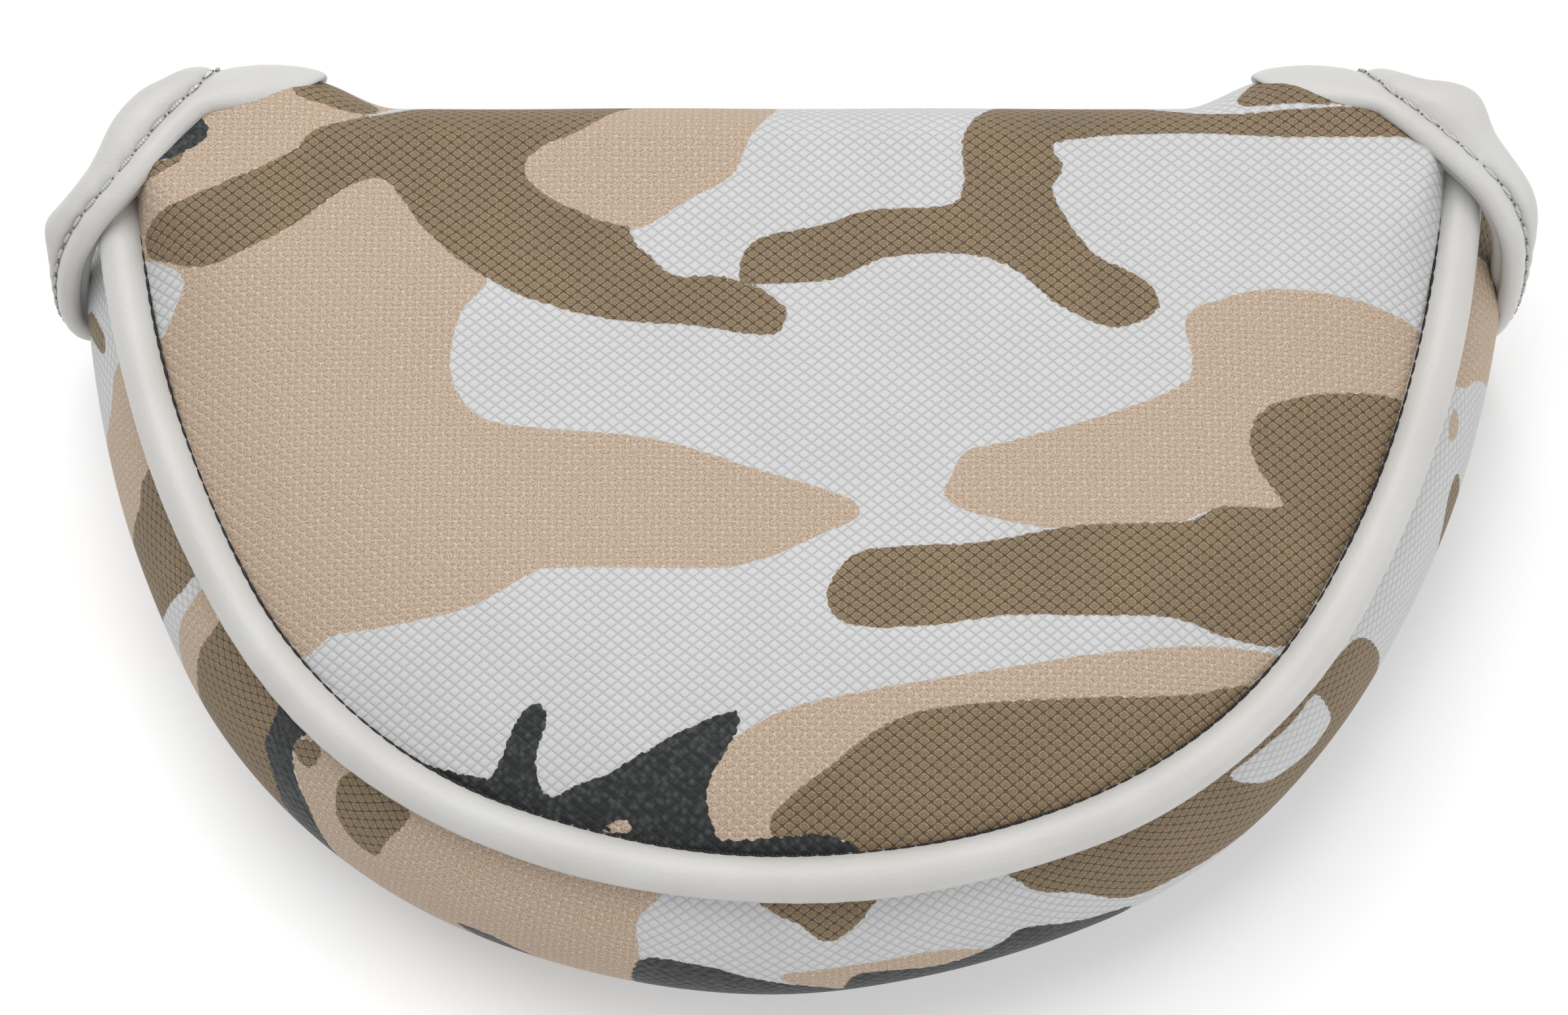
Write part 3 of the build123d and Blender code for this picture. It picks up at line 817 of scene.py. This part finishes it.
def top_grid(columns=COLUMNS, rows=PANEL_ROWS, flap_rows=FLAP_ROWS):
    """The skin from the seam to the fold and down the flap, with its cloth coordinates."""
    share = np.linspace(-1, 1, columns)
    last = mouth_turn(-PANEL_START, PANEL_PAST_MOUTH)
    turn = turn_at(share * length_at(last))
    seam_x, seam_y = rim(turn, -PANEL_START)
    fold_x = share * (mouth_x(FOLD_Y) - EDGE_TRIM)
    t = np.linspace(0, 1, rows)[:, None] ** 1.15
    x = mixed(seam_x, fold_x, t)
    y = mixed(seam_y, FOLD_Y, t)
    z = dome_height(x, y)
    z += swell(x, y, PANEL_SWELL) * ramp(inset(x, y), 6, 16)
    tuck = EDGE_TUCK * (1 - ramp((1 - np.abs(share)) * HALF_LENGTH, 0.0, EDGE_TUCK_WIDTH))
    z -= tuck * ramp(t, 0.5, 0.9)
    panel = np.stack([x, y, z], axis=-1)

    middle = resampled(spline(FOLD_MIDDLE, 12), 0.25)[0]
    corner = resampled(spline(FOLD_CORNER, 12), 0.25)[0]
    v = np.linspace(0, 1, flap_rows + 1)[1:] ** 1.1
    middle = np.stack([np.interp(v, np.linspace(0, 1, len(middle)), axis) for axis in middle.T], axis=1)
    corner = np.stack([np.interp(v, np.linspace(0, 1, len(corner)), axis) for axis in corner.T], axis=1)
    flare = ramp(np.abs(fold_x), FLARE_STARTS, FLARE_ENDS)[None, :]
    y = mixed(middle[:, :1], corner[:, :1], flare)
    z = mixed(middle[:, 1:], corner[:, 1:], flare)
    drop = mixed(middle[0, 1], corner[0, 1], flare) - panel[-1, :, 2]
    z = z - drop * ramp(z, 10, HEIGHT - 1.5)
    x = share * (mouth_x(np.minimum(y, FACE_Y)) - EDGE_TRIM)
    y = y + 0.2 * np.sin(x / 6.0 + z / 9.0) * ramp(HEIGHT - z, 7, 14)
    y = y - tuck * ramp(HEIGHT - z, 1, 6)
    flap = np.stack([x, y, z], axis=-1)
    grid = np.concatenate([panel, flap])

    fold = grid[rows - 1:]
    down = np.cumsum(np.linalg.norm(np.diff(fold[:, :, 1:], axis=0), axis=2), axis=0)
    cloth = grid.copy()
    cloth[rows:, :, 1] = FOLD_Y + down
    cloth[..., 2] = 0
    return grid, cloth


def body_top():
    grid, cloth = top_grid()
    piece = thick_sheet("camo_top_and_flap", grid, 1, SKIN, CAMO)
    cloth = np.concatenate([cloth.reshape(-1, 3)] * 2)
    paint(piece, cloth, TOP_PRINT)
    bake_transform(piece)
    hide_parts("top_panel", "top_foam", "flap_panel", "flap_foam")
    return grid


# The side wall

# How much fuller or flatter the padding is round the wall, by length along it from the rear
WALL_FULLNESS = [
    (-110, -1.6), (-90, -1.2), (-75, -0.3), (-60, 0.5), (-45, 0.8), (-30, 1.3), (-15, 1.5),
    (0, 1.5), (12, 0.8), (25, 0.0), (40, -0.4), (55, -0.9), (70, -1.0), (90, -0.4), (110, 0.1)
]


def wall_outward(z):
    """How far the wall stands out of the seam line at a height."""
    return WALL_BULGE - (WALL_BULGE + WALL_TUCK) * ((z - WALL_MIDDLE) / WALL_HALF) ** 2


def wall_grid(columns=COLUMNS + 60, rows=WALL_ROWS):
    """The bulging wall from the top piping down to the bottom piping."""
    share = np.linspace(-1, 1, columns)[None, :]
    z = np.linspace(WALL_HIGH + WALL_OVERLAP, WALL_LOW - WALL_OVERLAP, rows)[:, None]
    outward = wall_outward(z)
    last = mouth_turn(outward, WALL_PAST_MOUTH)
    along = share * length_at(last)
    pucker = 0.1 * np.cos(along / 1.9 + np.sin(along / 5.0)) * ramp(np.abs(z - WALL_MIDDLE), 4, 12)
    curve = spline(WALL_FULLNESS, 8)
    full = np.interp(along, curve[:, 0], curve[:, 1])
    full = full * (1 - ((z - WALL_MIDDLE) / WALL_HALF) ** 2).clip(0, 1)
    out = outward + full + pucker + swell(along / 1.6, z * 1.5, WALL_SWELL)
    x, y = rim(turn_at(along), out)
    z = np.broadcast_to(z, x.shape)
    grid = np.stack([x, y, z], axis=-1)
    down = np.concatenate([[0], np.cumsum(np.hypot(np.diff(z[:, 0]), np.diff(outward[:, 0])))])
    cloth = np.stack([along, np.broadcast_to(down[:, None], x.shape), np.zeros_like(x)], axis=-1)
    return grid, cloth


def side_wall():
    grid, cloth = wall_grid()
    piece = thick_sheet("gusset_cover", grid, -1, SKIN, CAMO)
    paint(piece, np.concatenate([cloth.reshape(-1, 3)] * 2), WALL_PRINT)
    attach(piece, "cover")
    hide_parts("gusset", "gusset_foam")


# Piping

def piping(name, level, nodes):
    """A leather-covered cord along the seam, its ends tucked under the collars."""
    last = length_at(mouth_turn(-PIPE_RADIUS, PIPE_PAST_MOUTH))
    along = np.linspace(-last, last, PIPE_STEPS)
    x, y = rim(turn_at(along), -PIPE_RADIUS)
    centres = np.stack([x, y, np.full_like(x, level)], axis=-1)
    turn = np.radians(turn_at(along))
    across = np.stack([np.sin(turn), -np.cos(turn), np.zeros_like(x)], axis=-1)
    up = np.broadcast_to(np.array([0.0, 0.0, 1.0]), across.shape)
    angle = np.linspace(0, 2 * math.pi, PIPE_SIDES, endpoint=False)[None, :]
    crease = np.sin(along * 1.7 + 3 * np.sin(along / 7.0)) * ramp(np.sin(along / 9.0 + 1.0), 0.1, 0.9)
    radius = PIPE_RADIUS + 0.05 * np.sin(along / 4.3)[:, None]
    radius = radius + 0.025 * crease[:, None] * np.cos(angle - 0.6)
    sections = np.stack([radius * np.cos(angle), radius * np.sin(angle)], axis=-1)
    piece = tube(name, centres, across, up, sections, LEATHER)
    outward_faces(piece)
    cloth = np.stack(np.broadcast_arrays(along[:, None], angle * PIPE_RADIUS, 0 * angle), axis=-1)
    give(piece, "cloth", cloth.reshape(-1, 3))
    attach(piece, "cover")
    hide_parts(*nodes)


# Bottom panel and lip

LIP_CURVE = 2.4
BASE_LOW = 0.1
BASE_EDGE_WIDTH = 7.0


def base_grid(columns=COLUMNS - 60, rows=64, lip_rows=22):
    """The bottom skin from the seam to the front, then up the lip behind the flap."""
    share = np.linspace(-1, 1, columns)
    turn = turn_at(share * length_at(mouth_turn(-PANEL_START)))
    seam_x, seam_y = rim(turn, -PANEL_START)
    bend_y = LIP_Y - LIP_CURVE
    front_x = share * mouth_x(bend_y)
    t = np.linspace(0, 1, rows)[:, None]
    x = mixed(seam_x, front_x, t)
    y = mixed(seam_y, bend_y, t)
    sink = np.clip((inset(x, y) - PANEL_START) / BASE_EDGE_WIDTH, 0, 1)
    z = BASE_LOW + (LOW_SEAM - 0.3) * (1 - sink) ** 2.6
    floor = np.stack([x, y, z], axis=-1)
    angle = np.linspace(0, math.pi / 2, 8)[1:]
    rise_y = bend_y + LIP_CURVE * np.sin(angle)
    rise_z = BASE_LOW + LIP_CURVE * (1 - np.cos(angle))
    top = np.linspace(rise_z[-1], LIP_TOP, lip_rows)[1:]
    y = np.concatenate([rise_y, np.full_like(top, LIP_Y)])[:, None]
    z = np.concatenate([rise_z, top])[:, None]
    x = share * mouth_x(y)
    lip = np.stack(np.broadcast_arrays(x, y, z), axis=-1)
    grid = np.concatenate([floor, lip])
    cloth = grid.copy()
    cloth[rows:, :, 1] = bend_y + np.arange(1, len(lip) + 1)[:, None] * 0.6
    cloth[..., 2] = 0
    return grid, cloth


def base_and_lip():
    grid, cloth = base_grid()
    piece = thick_sheet("camo_bottom_and_lip", grid, -1, SKIN, CAMO)
    paint(piece, np.concatenate([cloth.reshape(-1, 3)] * 2), BASE_PRINT)
    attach(piece, "cover")
    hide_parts("bottom_panel", "bottom_foam", "front_lip")
    return grid


# Linings

def lined(name, grid, side, depth, thickness, nodes):
    """A plush sheet lying depth below an outer grid."""
    normals = grid_normals(grid, side)
    under = grid - normals * np.broadcast_to(depth, grid.shape[:2])[..., None]
    piece = thick_sheet(name, under, side, thickness, PLUSH)
    give(piece, "cloth", np.concatenate([under.reshape(-1, 3)] * 2))
    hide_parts(*nodes)
    return piece


# Columns left off each end of a lining, so that it stops short of the mouth
LINING_INSET = 6
WALL_LINING_INSET = 4


def linings():
    grid, _ = top_grid(121, 44, 30)
    panel = grid[2:, LINING_INSET:-LINING_INSET]
    rows = len(panel)
    past_fold = ramp(np.arange(rows), 40, 46)[:, None]
    depth = mixed(SKIN + FOAM, SKIN + FLAP_FOAM, past_fold)
    top = lined("lining_top_and_flap", panel, 1, depth, FLAP_LINING, ["top_lining", "flap_lining"])
    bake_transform(top)
    wall, _ = wall_grid(121, 20)
    wall = lined("lining_wall", wall[1:-1, WALL_LINING_INSET:-WALL_LINING_INSET], -1,
                 SKIN + FOAM, LINING, ["gusset_lining"])
    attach(wall, "cover")
    base, _ = base_grid(121, 40, 16)
    base = base[2:, WALL_LINING_INSET:-WALL_LINING_INSET]
    depth = np.where(base[..., 2] > LIP_CURVE + 0.6, SKIN + FLAP_FOAM, SKIN + FOAM)
    base = lined("lining_bottom_and_lip", base, -1, depth, FLAP_LINING, ["bottom_lining", "lip_lining"])
    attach(base, "cover")


# Collars and flap bindings round the shaft mouths

# Section (outward, up) of a collar: a tight roll, the sewn valley, then a broad stuffed band
COLLAR_SECTION = [
    (-1.1, -0.3), (-1.5, 0.5), (-1.1, 1.25), (-0.2, 1.55), (0.6, 1.25), (1.0, 0.85), (1.6, 1.15),
    (3.0, 1.55), (4.8, 1.35), (6.1, 0.5), (6.6, -0.7), (6.1, -1.9), (4.6, -2.5), (2.0, -2.6),
    (-0.5, -2.3), (-1.2, -1.3)
]
COLLAR_WIDTH = 6.6
STITCH_AT = 1.0
ROLL_WIDTH = 2.4
LOBE_REACH = 7.5

# Pitch, length and radius of the stitches; length and radius of a needle hole's dark capsule of painted
# shade
STITCH_PITCH = 2.4
COLLAR_STITCH = (STITCH_PITCH, 1.7, 0.17)
HEM_STITCH = (STITCH_PITCH, 1.7, 0.24)
CREASE_STITCH = (1.5, 1.75, 0.15)
HOLE_SHADE_SIZE = (0.3, 0.07)

# Each edge as (y, z, lean inward, width): down the lip's end, back under the base, up the wall,
# over the top and down the flap. The two differ a little, as the photograph shows.
HEEL_EDGE = [
    (36.9, 13.8, 0.0, 2.5), (36.9, 8.0, 0.0, 2.5), (36.7, 3.6, 0.0, 2.5), (35.2, 2.2, 0.0, 2.5),
    (32.0, 2.0, 0.0, 2.6), (28.4, 2.3, -0.3, 2.6), (25.6, 3.6, -0.8, 2.4), (23.9, 6.8, -0.9, 2.0),
    (22.3, 11.0, -1.2, 1.7), (21.9, 16.0, -1.2, 1.7), (22.3, 20.5, -1.1, 1.8),
    (23.2, 24.8, -0.9, 2.4), (24.6, 28.6, -0.5, 3.6), (26.5, 31.6, 0.2, 3.5),
    (28.7, 33.4, 1.0, 3.9), (31.2, 34.5, 1.6, 4.5), (33.5, 35.1, 1.9, 4.9), (35.8, 35.4, 2.2, 4.8),
    (37.8, 35.4, 2.7, 4.7), (39.6, 34.3, 3.2, 4.9), (40.8, 31.2, 3.2, 5.3), (41.2, 26.0, 2.4, 5.6),
    (41.2, 19.0, 0.8, 5.6), (41.2, 12.0, 0.0, 5.6), (41.1, 5.0, 0.0, 5.6)
]
TOE_EDGE = [
    (36.9, 13.8, 0.0, 2.5), (36.9, 8.0, 0.0, 2.5), (36.7, 3.6, 0.0, 2.5), (35.2, 2.2, 0.0, 2.5),
    (32.0, 2.0, -0.2, 2.6), (28.4, 2.3, -0.7, 2.6), (25.8, 3.6, -1.4, 2.4), (24.0, 6.8, -1.0, 2.0),
    (22.5, 11.0, -1.1, 1.7), (22.2, 16.0, -1.1, 1.7), (22.5, 21.0, -1.1, 1.8),
    (23.4, 26.0, -1.3, 2.2), (24.9, 30.0, -1.6, 3.0), (27.1, 32.6, -1.5, 3.2),
    (29.2, 33.9, -1.0, 3.9), (32.1, 34.8, 0.0, 5.3), (35.0, 35.3, 1.1, 6.2), (37.2, 35.4, 2.0, 5.4),
    (39.2, 34.6, 2.9, 4.8), (40.8, 31.2, 3.2, 5.2), (41.2, 26.0, 2.4, 5.6), (41.2, 19.0, 0.8, 5.6),
    (41.2, 12.0, 0.0, 5.6), (41.1, 5.0, 0.0, 5.6)
]
# The cover's collar ends and the flap's binding begins here, just before the fold
SPLIT_Y = 30.2


def mouth_frame(edge, pitch=0.45):
    """Centres, outward and upward directions along an edge round the toe mouth, and its widths."""
    rows, along = resampled(spline(edge, 12), pitch)
    y, z, lean, width = rows.T
    centres = np.stack([mouth_x(np.minimum(y, FACE_Y)), y, z], axis=-1)
    onto_face = ramp(y, 36.5, 41)[:, None] * ramp(along, along[-1] / 2, along[-1] * 0.6)[:, None]
    outward = unit(mixed(MOUTH_OUT, np.array([1.0, 0.0, 0.0]), onto_face))
    forward = np.gradient(centres, axis=0)
    forward = unit(forward - outward * np.sum(forward * outward, axis=1, keepdims=True))
    up = np.cross(outward, forward)
    centres = centres - outward * lean[:, None]
    return centres, outward, up, along, rows[:, :2], width


def lumps(places, bumps):
    """Uneven swelling of a stuffed edge: each bump is (y, z, width, size)."""
    value = np.zeros(len(places))
    for y, z, width, size in bumps:
        value += size * np.exp(-np.sum((places - (y, z)) ** 2, axis=1) / width**2)
    return value


def collar_sections(places, along, width, bumps):
    """The rolled, stitched and puffed section at each step, with a lobe behind the flap's corner."""
    section = spline(COLLAR_SECTION, 3, closed=True)
    y, z = places.T
    late = ramp(along, along[-1] / 2, along[-1] * 0.6)
    narrow = ((width - STITCH_AT) / (COLLAR_WIDTH - STITCH_AT))[:, None]
    out = np.broadcast_to(section[:, 0], (len(y), len(section))).copy()
    high = np.broadcast_to(section[:, 1], out.shape).copy()
    band = ramp(out, 0.8, 2.5)
    swelling = lumps(places, bumps)[:, None]
    out = np.where(out > STITCH_AT, STITCH_AT + (out - STITCH_AT) * (narrow + 0.25 * swelling), out)
    lobe = LOBE_REACH * ramp(y, 37.5, 40.5) * (1 - 0.6 * ramp(30 - z, 0, 14)) * late
    out = np.where(out < STITCH_AT, STITCH_AT - (STITCH_AT - out) * (1 + lobe[:, None] / ROLL_WIDTH), out)
    high = high * np.where(out > STITCH_AT, np.clip(narrow, 0.6, 1.0), 1.0)
    high = high + band * swelling * np.where(high > 0, 1.0, 0.2)
    pucker = 0.06 * np.cos(2 * math.pi * along / STITCH_PITCH)[:, None]
    high = high + pucker * np.exp(-((out - 1.2) / 1.1) ** 2) * (high > 0)
    return np.stack([out, high], axis=-1)


def mirror_x(points, heel):
    return points * np.array([-1.0, 1.0, 1.0]) if heel else points


CAPSULE_RINGS = 9
CAPSULE_SIDES = 8


def capsule(centre, direction, side, up, length, radius):
    """Points and faces of one small rounded stitch."""
    points = []
    for step in np.linspace(-1, 1, CAPSULE_RINGS):
        size = radius * math.sqrt(max(0.0, 1 - abs(step) ** 3)) + 0.02
        arch = 0.16 * (1 - step * step)
        middle = centre + direction * step * length / 2 + up * arch
        for angle in np.linspace(0, 2 * math.pi, CAPSULE_SIDES, endpoint=False):
            points.append(middle + side * size * math.cos(angle) + up * size * math.sin(angle) * 0.8)
    last = CAPSULE_RINGS * CAPSULE_SIDES - 1
    faces = quads(CAPSULE_RINGS, CAPSULE_SIDES, wrap_columns=True)
    faces.append(list(range(CAPSULE_SIDES)))
    faces.append(list(range(last, last - CAPSULE_SIDES, -1)))
    return points, faces


def stitch_row(name, line, size, node, thread=None, hole_shades=True):
    """Stitches at even steps, each between two needle holes shown as dark capsules of painted shade.

    The line is centres, forward, side and up directions; the size is pitch, length and radius.
    """
    centres, forward, side, up = line
    pitch, length, radius = size
    steps = np.linalg.norm(np.diff(centres, axis=0), axis=1)
    along = np.concatenate([[0], np.cumsum(steps)])
    points, faces, slots = [], [], []
    for middle in np.arange(pitch / 2, along[-1] - pitch / 3, pitch):
        def at(values, where=middle):
            return np.array([np.interp(where, along, axis) for axis in values.T])
        centre, ahead, across, above = at(centres), unit(at(forward)), unit(at(side)), unit(at(up))
        stitch_points, stitch_faces = capsule(centre, ahead, across, above, length, radius)
        faces += [[k + len(points) for k in face] for face in stitch_faces]
        slots += [0] * len(stitch_faces)
        points += stitch_points
        if hole_shades:
            # Painted shade: a small dark capsule sunk at each needle hole.
            for end in (-0.56, 0.56):
                spot = centre + ahead * end * length - above * 0.05
                hole_points, hole_faces = capsule(spot, ahead, across, above, *HOLE_SHADE_SIZE)
                faces += [[k + len(points) for k in face] for face in hole_faces]
                slots += [1] * len(hole_faces)
                points += hole_points
    piece = make_mesh(name, points, faces, [thread or THREAD, HOLE_SHADE])
    piece.data.polygons.foreach_set("material_index", slots)
    outward_faces(piece)
    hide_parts(node)
    return piece


TOE_LUMPS = [
    (27.0, 32.0, 2.5, 0.35), (31.5, 35.0, 1.6, -0.3), (35.5, 35.2, 2.6, 0.3)
]
HEEL_LUMPS = [
    (25.5, 30.0, 2.5, 0.25), (30.0, 34.0, 2.0, -0.15), (36.0, 35.6, 3.0, 0.2),
    (41.0, 26.0, 5.0, 0.25)
]


def edge_band(heel):
    """The stuffed leather bands round one mouth: one part on the cover and one on the flap."""
    hand = "left" if heel else "right"
    centres, outward, up, along, places, width = mouth_frame(HEEL_EDGE if heel else TOE_EDGE)
    sections = collar_sections(places, along, width, HEEL_LUMPS if heel else TOE_LUMPS)
    centres, outward, up = [mirror_x(values, heel) for values in (centres, outward, up)]
    facing_up = sections[0, :, 1] > 0
    valley = np.argmin(np.where(facing_up, np.abs(sections[0, :, 0] - STITCH_AT), np.inf))
    spots = sections[:, valley]
    line = centres + outward * spots[:, :1] + up * (spots[:, 1:] + 0.02)
    forward = unit(np.gradient(line, axis=0))
    over = (along > along[-1] / 2) & (places[:, 0] > SPLIT_Y)
    split = np.argmax(over)
    # The stitches start a quarter of the way along the collar, past its end behind the flap
    hidden = split // 4
    spans = (("collar_", 0, split + 1, hidden), ("flap_binding_", split, len(line), split))
    for kind, first, last, sewn in spans:
        part = slice(first, last)
        seam = slice(sewn, last)
        name = kind + hand
        cover = tube(name + "_cover", centres[part], outward[part], up[part], sections[part], LEATHER)
        outward_faces(cover)
        give(cover, "cloth", np.array([v.co for v in cover.data.vertices]) / MM)
        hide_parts(name, name + "_padding")
        seam_line = (line[seam], forward[seam], outward[seam], up[seam])
        stitches = stitch_row(name + "_stitches", seam_line, COLLAR_STITCH, name + "_thread")
        for made in (cover, stitches):
            if kind == "collar_":
                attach(made, "cover")
            else:
                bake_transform(made)


# Seams

def crease_thread():
    """Near-black locking stitches down in the crease between the top panel and its piping; the near-black
    thread is also painted shade of the crease.
    """
    last = length_at(mouth_turn(-PANEL_START, -1.0))
    along = np.linspace(-last, last, 500)
    x, y = rim(turn_at(along), -PANEL_START - 0.42)
    z = np.full_like(x, HIGH_SEAM + 0.95)
    centres = np.stack([x, y, z], axis=-1)
    turn = np.radians(turn_at(along))
    side = np.stack([np.sin(turn), -np.cos(turn), 0 * turn], axis=-1)
    up = np.broadcast_to(np.array([0.0, 0.0, 1.0]), side.shape)
    line = (centres, unit(np.gradient(centres, axis=0)), side, up)
    piece = stitch_row("top_seam_stitches", line, CREASE_STITCH, "top_seam_thread", CREASE_SHADE_THREAD, False)
    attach(piece, "cover")


def hem_thread(grid):
    """The pale stitches along the flap's lower edge."""
    hem_z = (cad("flap_hem_thread", 0, 2) + cad("flap_hem_thread", 1, 2)) / 2
    end = cad("flap_hem_thread", 1, 0)
    middle = grid[:, COLUMNS // 2]
    on_flap = middle[:, 1] >= FOLD_Y
    row = grid[np.argmin(np.where(on_flap, np.abs(middle[:, 2] - hem_z), np.inf))]
    line = row[np.abs(row[:, 0]) < end] + np.array([0.0, 0.06, 0.0])
    forward = unit(np.gradient(line, axis=0))
    side = np.broadcast_to(np.array([0.0, 0.0, 1.0]), line.shape)
    up = np.broadcast_to(np.array([0.0, 1.0, 0.0]), line.shape)
    piece = stitch_row("flap_hem_stitches", (line, forward, side, up), HEM_STITCH, "flap_hem_thread")
    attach(piece, "flap")


# CAD nodes that keep their own shape

def keep_nodes():
    looks = {"seam_tape": TAPE, "magnet": NICKEL, "stiffener": BOARD}
    for name, node in frame["nodes"].items():
        for word, material in looks.items():
            if word in name:
                node.data.materials.clear()
                node.data.materials.append(material)


# Studio

FLOOR_DROP = 0.0002
WORLD_LIGHT = 0.62
# Name, place in metres, size in metres and power in watts
LAMPS = [
    ("key", (-0.2, 0.3, 0.85), 0.7, 5.4),
    ("fill", (0.75, -0.4, 0.5), 0.7, 2.8),
    ("back", (0.0, 0.8, 0.5), 0.6, 0.9),
]


def studio():
    bpy.ops.mesh.primitive_grid_add(x_subdivisions=24, y_subdivisions=24, size=3.0,
                                    location=(0, 0, -FLOOR_DROP))
    floor = bpy.context.object
    floor.name = "floor"
    floor.data.materials.append(floor_material())
    world = bpy.data.worlds.new("soft_room")
    world.use_nodes = True
    world.node_tree.nodes["Background"].inputs["Color"].default_value = (1, 1, 1, 1)
    world.node_tree.nodes["Background"].inputs["Strength"].default_value = WORLD_LIGHT
    bpy.context.scene.world = world
    bpy.context.scene.view_settings.view_transform = "Standard"
    for name, place, size, power in LAMPS:
        lamp = bpy.data.lights.new(name, "AREA")
        lamp.size = size
        lamp.energy = power
        light = bpy.data.objects.new(name, lamp)
        light.location = place
        light.rotation_euler = (-Vector(place)).to_track_quat("-Z", "Y").to_euler()
        bpy.context.scene.collection.objects.link(light)


CAMERA_ELEVATION = math.radians(75.0)
CAMERA_DISTANCE = 350.0
CAMERA_LENS = 86.3


def camera():
    """Looks down at the top from the rear side, steeply, from about a third of a metre."""
    target = np.array([-0.5, -0.9, HIGH_SEAM])
    back = np.array([0.0, -math.cos(CAMERA_ELEVATION), math.sin(CAMERA_ELEVATION)])
    data = bpy.data.cameras.new("camera")
    data.lens = CAMERA_LENS
    data.sensor_width = 36.0
    data.clip_start = 0.01
    data.clip_end = 10.0
    eye = bpy.data.objects.new("camera", data)
    eye.location = (target + back * CAMERA_DISTANCE) * MM
    eye.rotation_euler = Vector(-back).to_track_quat("-Z", "Y").to_euler()
    bpy.context.scene.collection.objects.link(eye)
    bpy.context.scene.camera = eye


top = body_top()
side_wall()
piping("piping_top", HIGH_SEAM, ["top_piping", "top_piping_cord"])
piping("piping_bottom", LOW_SEAM, ["bottom_piping", "bottom_piping_cord"])
base_and_lip()
linings()
edge_band(heel=True)
edge_band(heel=False)
crease_thread()
hem_thread(top)
keep_nodes()
studio()
camera()
